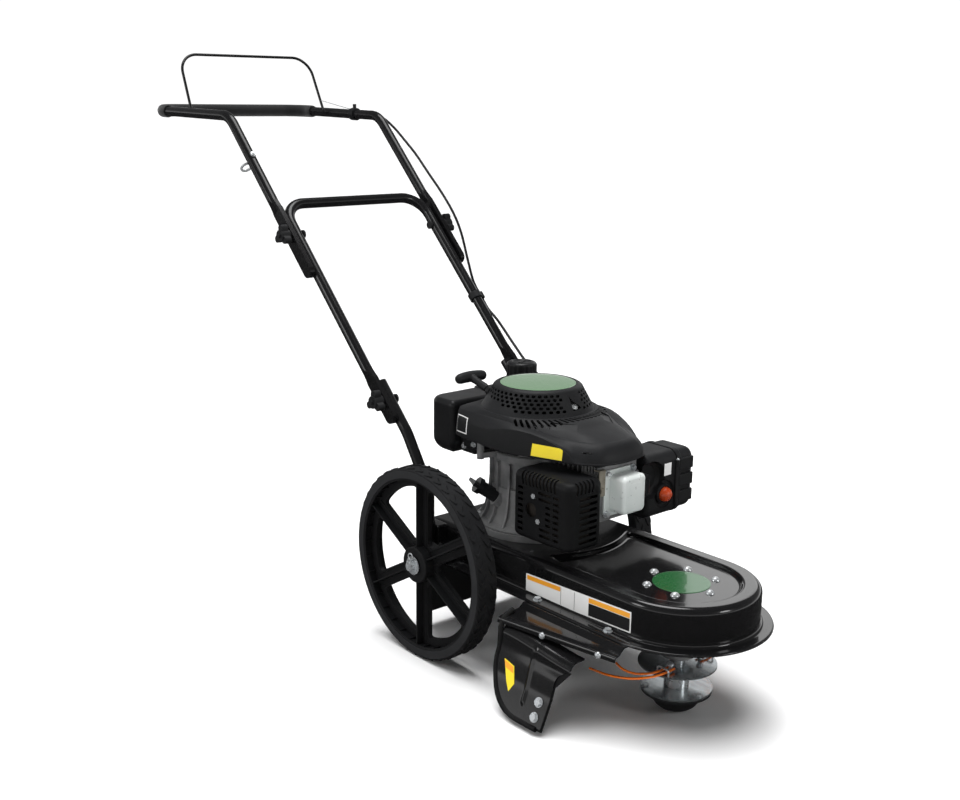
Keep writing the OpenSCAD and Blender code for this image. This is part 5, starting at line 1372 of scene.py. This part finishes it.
class TRIMMER_OT_tank(bpy.types.Operator):
    """Blow the fuel tank with its filler boss, and knurl the fuel cap"""
    bl_idname = "trimmer.tank"
    bl_label = "Fuel tank"

    def execute(self, context):
        body = soft_box((-189.4, -105, 121), (-115.6, 140, 224), (10, 30, 30, 10), (27, 10), 2, 9)
        spot = engine(-151.4, 100, 224)
        boss = [(33, -3), (31.5, -0.5), (30.4, 3), (30, 8), (30, 15.5), (29.2, 17.4), (27.4, 18),
                (22, 18), (22, 36), (18, 36), (18, 10)]
        strap = soft_box((-190.4, 6, 150), (-114, 24, 225.4), (3, 12, 12, 3), (2, 4), 2, 3)
        fit("tank_moulding", join(body, turned(boss, spot, (0, 0, 1), 64), strap), "tank", "chassis",
            "tank_plastic", ["fuel_tank"], 40)
        grip = []
        steps = 180
        rows = [(22.6, 0.3), (26.6, 0.1), (27.4, 1.2), (27.6, 3), (27.6, 20), (27, 22.6), (25.6, 24.4),
                (23, 25.8), (19, 26.6), (17.6, 26.4), (16.6, 25.4), (15, 25), (0.01, 25)]
        for r, h in rows:
            ring = []
            for k in range(steps):
                a = 2 * math.pi * k / steps
                knurl = 0.55 * math.cos(20 * a) if 2 < h < 21 else 0.0
                ring.append(spot + Vector((math.cos(a), math.sin(a), 0)) * (1.07 * r + knurl) * MM
                            + Vector((0, 0, (18.1 + h) * MM)))
            grip.append(ring)
        bar = block((-3.2, -15, 43.2), (3.2, 15, 45), 0.8, 2, Matrix.Rotation(0.5, 4, "Z"))
        fit("fuel_cap_moulding", join(skin(grip), moved(bar, spot)), "tank", "fuel_cap", "tank_plastic",
            ["fuel_cap"], 30)
        return {"FINISHED"}


class TRIMMER_OT_air_box(bpy.types.Operator):
    """Mould the air box with its bowl, primer pocket and latched cover"""
    bl_idname = "trimmer.air_box"
    bl_label = "Air box"

    def execute(self, context):
        box = soft_box((134, 60, 49), (220, 132.6, 165), [19] * 4, (8, 1.5), 1, 8)
        body = outward(piece("air_box_moulding", *box))
        ahead = (1, 0, 0)
        bowl = turned([(0.01, -16), (24, -16), (31, -11), (33.5, -2), (34, 6), (0.01, 6)],
                      engine(220, 70, 122), ahead, 64)
        pocket = turned([(0.01, -4.6), (23, -4.6), (25.5, -2), (26.5, 6), (0.01, 6)],
                        engine(220, 102, 91), ahead, 64)
        cut_away(body, outward(piece("bowl_cutter", *bowl)))
        cut_away(body, outward(piece("pocket_cutter", *pocket)))
        wear(body, "plastic", "chassis", "shroud_plastic", ["air_box"], 34)
        seat = [(13.3, -5), (13.3, 0.4), (14.2, 1.4), (16.6, 1.4), (18.2, 0), (18.8, -5)]
        fit("primer_seat", turned(seat, engine(220, 102, 91), ahead, 48), "tank", "chassis",
            "shroud_plastic")
        lid = [soft_box((133.2, 134.4, 48.2), (220.8, 146, 165.8), [20] * 4, (1.5, 2.5), 1, 4),
               soft_box((136.4, 144, 51.4), (217.6, 186, 162.6), [18] * 4, (0, 15), 1, 8)]
        for z in (66, 96, 126):
            lid.append(at_engine(block((216.2, 140, z), (221.6, 178, z + 22), 2.2, 3)))
        lid.append(at_engine(block((219.6, 129, 64), (223.4, 134.8, 148), 1.5, 3)))
        for z in (70, 142):
            lid.append(turned([(0.01, -6), (3, -6), (3.4, -5), (3.4, 5), (3, 6), (0.01, 6)],
                              engine(222, 132.4, z), (0, 0, 1), 20))
        fit("air_box_lid", join(*lid), "plastic", "chassis", "shroud_plastic", ["air_box_cover"], 34)
        label = at_engine(block((219.9, 100, 124), (220.5, 118.6, 146), 0.25, 1))
        fit("air_box_plate", label, "white", "chassis")
        pin = turned([(0.01, 0), (2.2, 0), (2.6, -1), (2.6, -4), (0.01, -4)], engine(224.2, 134, 148),
                     ahead, 20)
        fit("latch_pin", pin, "zinc", "chassis", "zinc")
        return {"FINISHED"}


class TRIMMER_OT_rocker(bpy.types.Operator):
    """Press the rocker cover, with its flange bolts and the bracket beside it"""
    bl_idname = "trimmer.rocker"
    bl_label = "Rocker cover"

    def execute(self, context):
        flange = soft_box((200.3, -34, 72), (203.4, 42, 154), [9] * 4, (0, 1.2), 0, 3)
        crown = soft_box((203, -20, 79.5), (236, 36, 146.5), [9] * 4, (0, 6.5), 0, 7)
        relief = soft_box((235, -8, 92), (236.3, 24, 134), [6] * 4, (0, 1.0), 0, 3)
        # The cover's pale base colour carries a painted reflection as well as the zinc's own tone
        fit("rocker_pressing", join(flange, crown, relief), "cover", "chassis", "zinc", ["rocker_cover"],
            40)
        bolt = [(0.01, 6.4), (2.6, 6.4), (2.9, 6.1), (4.1, 6), (4.3, 5.4), (4.3, 1.4), (6.2, 1.2),
                (6.4, 0.6), (6.4, 0)]
        spots = ((35, 149), (-28, 149), (35, 77), (-28, 77))
        bolts = [turned(bolt, engine(203.4, y, z), (1, 0, 0), 24) for y, z in spots]
        fit("rocker_bolts", join(*bolts), "zinc", "chassis", "zinc", (), 30)
        strap = join(at_engine(block((204.2, -50, 112), (206.6, -35, 158), 0.7, 2)),
                     at_engine(block((192, -50, 156), (206.6, -35, 158.4), 0.7, 2)),
                     at_engine(block((206, -47, 118), (209, -38, 127), 0.8, 2)))
        fit("head_strap", strap, "bronze", "chassis", "cast")
        return {"FINISHED"}


class TRIMMER_OT_castings(bpy.types.Operator):
    """Round the edges of the castings, knobs and flaps, and add the crankcase ribs and tank carrier"""
    bl_idname = "trimmer.castings"
    bl_label = "Castings and mouldings"

    def execute(self, context):
        rows = [("crankcase", 1.2, "cast"), ("cylinder_head", 0.8, "cast"), ("oil_cap", 1.0, "tank"),
                ("carburettor", 1.0, "cast")]
        for level in ("lower", "upper"):
            rows += [(f"knob_{level}_{side}", 1.2, "plastic") for side, sign in SIDES]
        rows += [("rear_flap", 0.8, "flap"), ("guard_flap", 0.8, "flap"), ("spark_plug", 0.8, "tank"),
                 ("cable_stop", 0.4, "tank")]
        body_of = {n: b for b, ns in frame["record"]["behaviour"]["bodies"].items() for n in ns}
        slot_of = {row["node"]: row["material_slot"] for row in frame["record"]["subparts"]}
        for node, edge, name in rows:
            wear(softened(node, edge), name, body_of[node], slot_of[node], [node], 40)
        ribs = []
        for deg in (-165, -140, -118, -98, -78, 78, 98, 118, 140, 165):
            turn = spun(deg)
            web = [(80, 14), (103, 14), (104, 18), (95, 34), (89, 60), (86.5, 90), (86.5, 131), (80, 133)]
            rings = [[turn @ Vector((r, t, z)) * MM + engine(0, 0, 0) for r, z in web]
                     for t in (-2, -1.6, 1.6, 2)]
            ribs.append(skin(rings, capped=True))
        rim = [(80, 12), (107, 12), (108.5, 13), (108.5, 15), (106, 16.2), (96, 20), (88.5, 34), (85, 56),
               (83.6, 84), (80, 86)]
        ribs.append(turned(rim, engine(0, 0, 0), (0, 0, 1), 96))
        collar = [(79, 133), (83.5, 135), (84.5, 137), (84.5, 146), (83, 148), (79, 149)]
        ribs.append(turned(collar, engine(0, 0, 0), (0, 0, 1), 96))
        fit("crankcase_ribs", join(*ribs), "cast", "chassis", "cast")
        carrier = join(at_engine(block((-117, -84, 128), (-76, 70, 166), 5, 4)),
                       at_engine(block((-100, -92, 142), (-60, -80, 166), 4, 4)))
        fit("tank_carrier", carrier, "tank", "chassis", "tank_plastic")
        head = [(0.01, 4), (3.6, 4), (4.2, 3.4), (4.2, 1), (6, 0.8), (6.2, 0), (6.2, -1.5)]
        spots = ((-106, -84, 140), (-70, -92, 152))
        bolts = [turned(head, engine(*p), (0, -1, 0), 24) for p in spots]
        fit("carrier_bolts", join(*bolts), "zinc", "chassis", "zinc")
        return {"FINISHED"}


class TRIMMER_OT_cables(bpy.types.Operator):
    """Run the control cable, its wire and the foam grip"""
    bl_idname = "trimmer.cables"
    bl_label = "Cables and grip"

    def execute(self, context):
        r = sizes().cable_d / 2
        upper = [(-1173.7, 207, 961), (-1135, 207, 959), (-1095, 208, 950), (-1055, 208, 930),
                 (-1015, 208, 903), (-975, 208, 874), (-930, 208, 835), (-885, 209, 795),
                 (-845, 209, 754), (-815, 206, 714), (-784, 198, 662)]
        lower = [(-670, 182, 550), (-635, 170, 536), (-590, 158, 512), (-545, 153, 482), (-500, 152, 458),
                 (-450, 148, 432), (-400, 140, 410), (-350, 131, 396), (-305, 120, 388), (-282, 112, 384)]
        upper = [place(*p) for p in upper] + [on_handle(240, 191.15), on_handle(204.4, 190.15)]
        lower = [on_handle(203.6, 190.15), on_handle(170, 189.15)] + [place(*p) for p in lower]
        for name, way, node, bodies, start, end in (
                ("control_cable_upper", upper, "cable_upper", ("middle_handle", "upper_handle"),
                 place(-790, 200, 672), place(-950, 208, 852)),
                ("control_cable_lower", lower, "cable_lower", ("chassis", "middle_handle"),
                 place(-520, 152, 468), place(-672, 182, 551))):
            strung(name, route(way, 8), r, 14, "sheath", node)
        lo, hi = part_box("bail_wire")
        data = frame["nodes"]["bail_wire"].data.vertices
        ends = [[v.co for v in data if abs(v.co.x - x) < 0.003] for x in (lo.x, hi.x)]
        a, b = (sum(group, Vector()) / len(group) for group in ends)
        strung("bail_pull_wire", straight(a, b), 0.0008, 10, "zinc", "bail_wire")
        bar_x, bar_z, half, arm = -1416.742, 962.811, 189.8, 62

        def top(x, y):
            return place(x, y, bar_z - 7 * (x - bar_x) / 327)

        corners = ((arm, -half), (0, -half), (0, half), (arm, half))
        grip = bends([top(bar_x + x, y) for x, y in corners], [0.05, 0.05], 16)
        fine = []
        for p, q in zip(grip, grip[1:]):
            n = max(1, round((q - p).length / 0.006))
            fine += [p + (q - p) * k / n for k in range(n)]
        fine.append(grip[-1])
        radii = [0.014] * len(fine)
        radii[0] = radii[-1] = 0.0128
        foam = piece("foam_grip", *sweep(fine, radii, 32))
        wear(foam, "foam", "upper_handle", "foam", ["grip"], 50)
        return {"FINISHED"}


class TRIMMER_PT_panel(bpy.types.Panel):
    """Sidebar list of the trimmer's builders"""
    bl_idname = "TRIMMER_PT_panel"
    bl_label = "String trimmer"
    bl_space_type = "VIEW_3D"
    bl_region_type = "UI"
    bl_category = "Trimmer"

    def draw(self, context):
        for group in (context.scene.trimmer_colours, context.scene.trimmer_sizes):
            for key in group.bl_rna.properties.keys():
                if key not in {"rna_type", "name"}:
                    self.layout.prop(group, key)
        for step in STEPS:
            self.layout.operator(step.bl_idname)


STEPS = (TRIMMER_OT_finishes, TRIMMER_OT_stage, TRIMMER_OT_lines, TRIMMER_OT_tyres, TRIMMER_OT_wheels,
         TRIMMER_OT_deck, TRIMMER_OT_guard, TRIMMER_OT_shroud, TRIMMER_OT_starter, TRIMMER_OT_muffler,
         TRIMMER_OT_tank, TRIMMER_OT_air_box, TRIMMER_OT_rocker, TRIMMER_OT_castings, TRIMMER_OT_cables)
CLASSES = (TrimmerColours, TrimmerSizes, *STEPS, TRIMMER_PT_panel)


def register():
    """Adds the classes and the scene's settings."""
    for cls in CLASSES:
        bpy.utils.register_class(cls)
    bpy.types.Scene.trimmer_colours = bpy.props.PointerProperty(type=TrimmerColours)
    bpy.types.Scene.trimmer_sizes = bpy.props.PointerProperty(type=TrimmerSizes)


def unregister():
    """Takes the scene's settings and the classes away."""
    del bpy.types.Scene.trimmer_sizes
    del bpy.types.Scene.trimmer_colours
    for cls in reversed(CLASSES):
        bpy.utils.unregister_class(cls)


def main():
    """Builds the whole scene."""
    register()
    for step in STEPS:
        group, name = step.bl_idname.split(".")
        getattr(getattr(bpy.ops, group), name)()


if __name__ == "__main__":
    main()
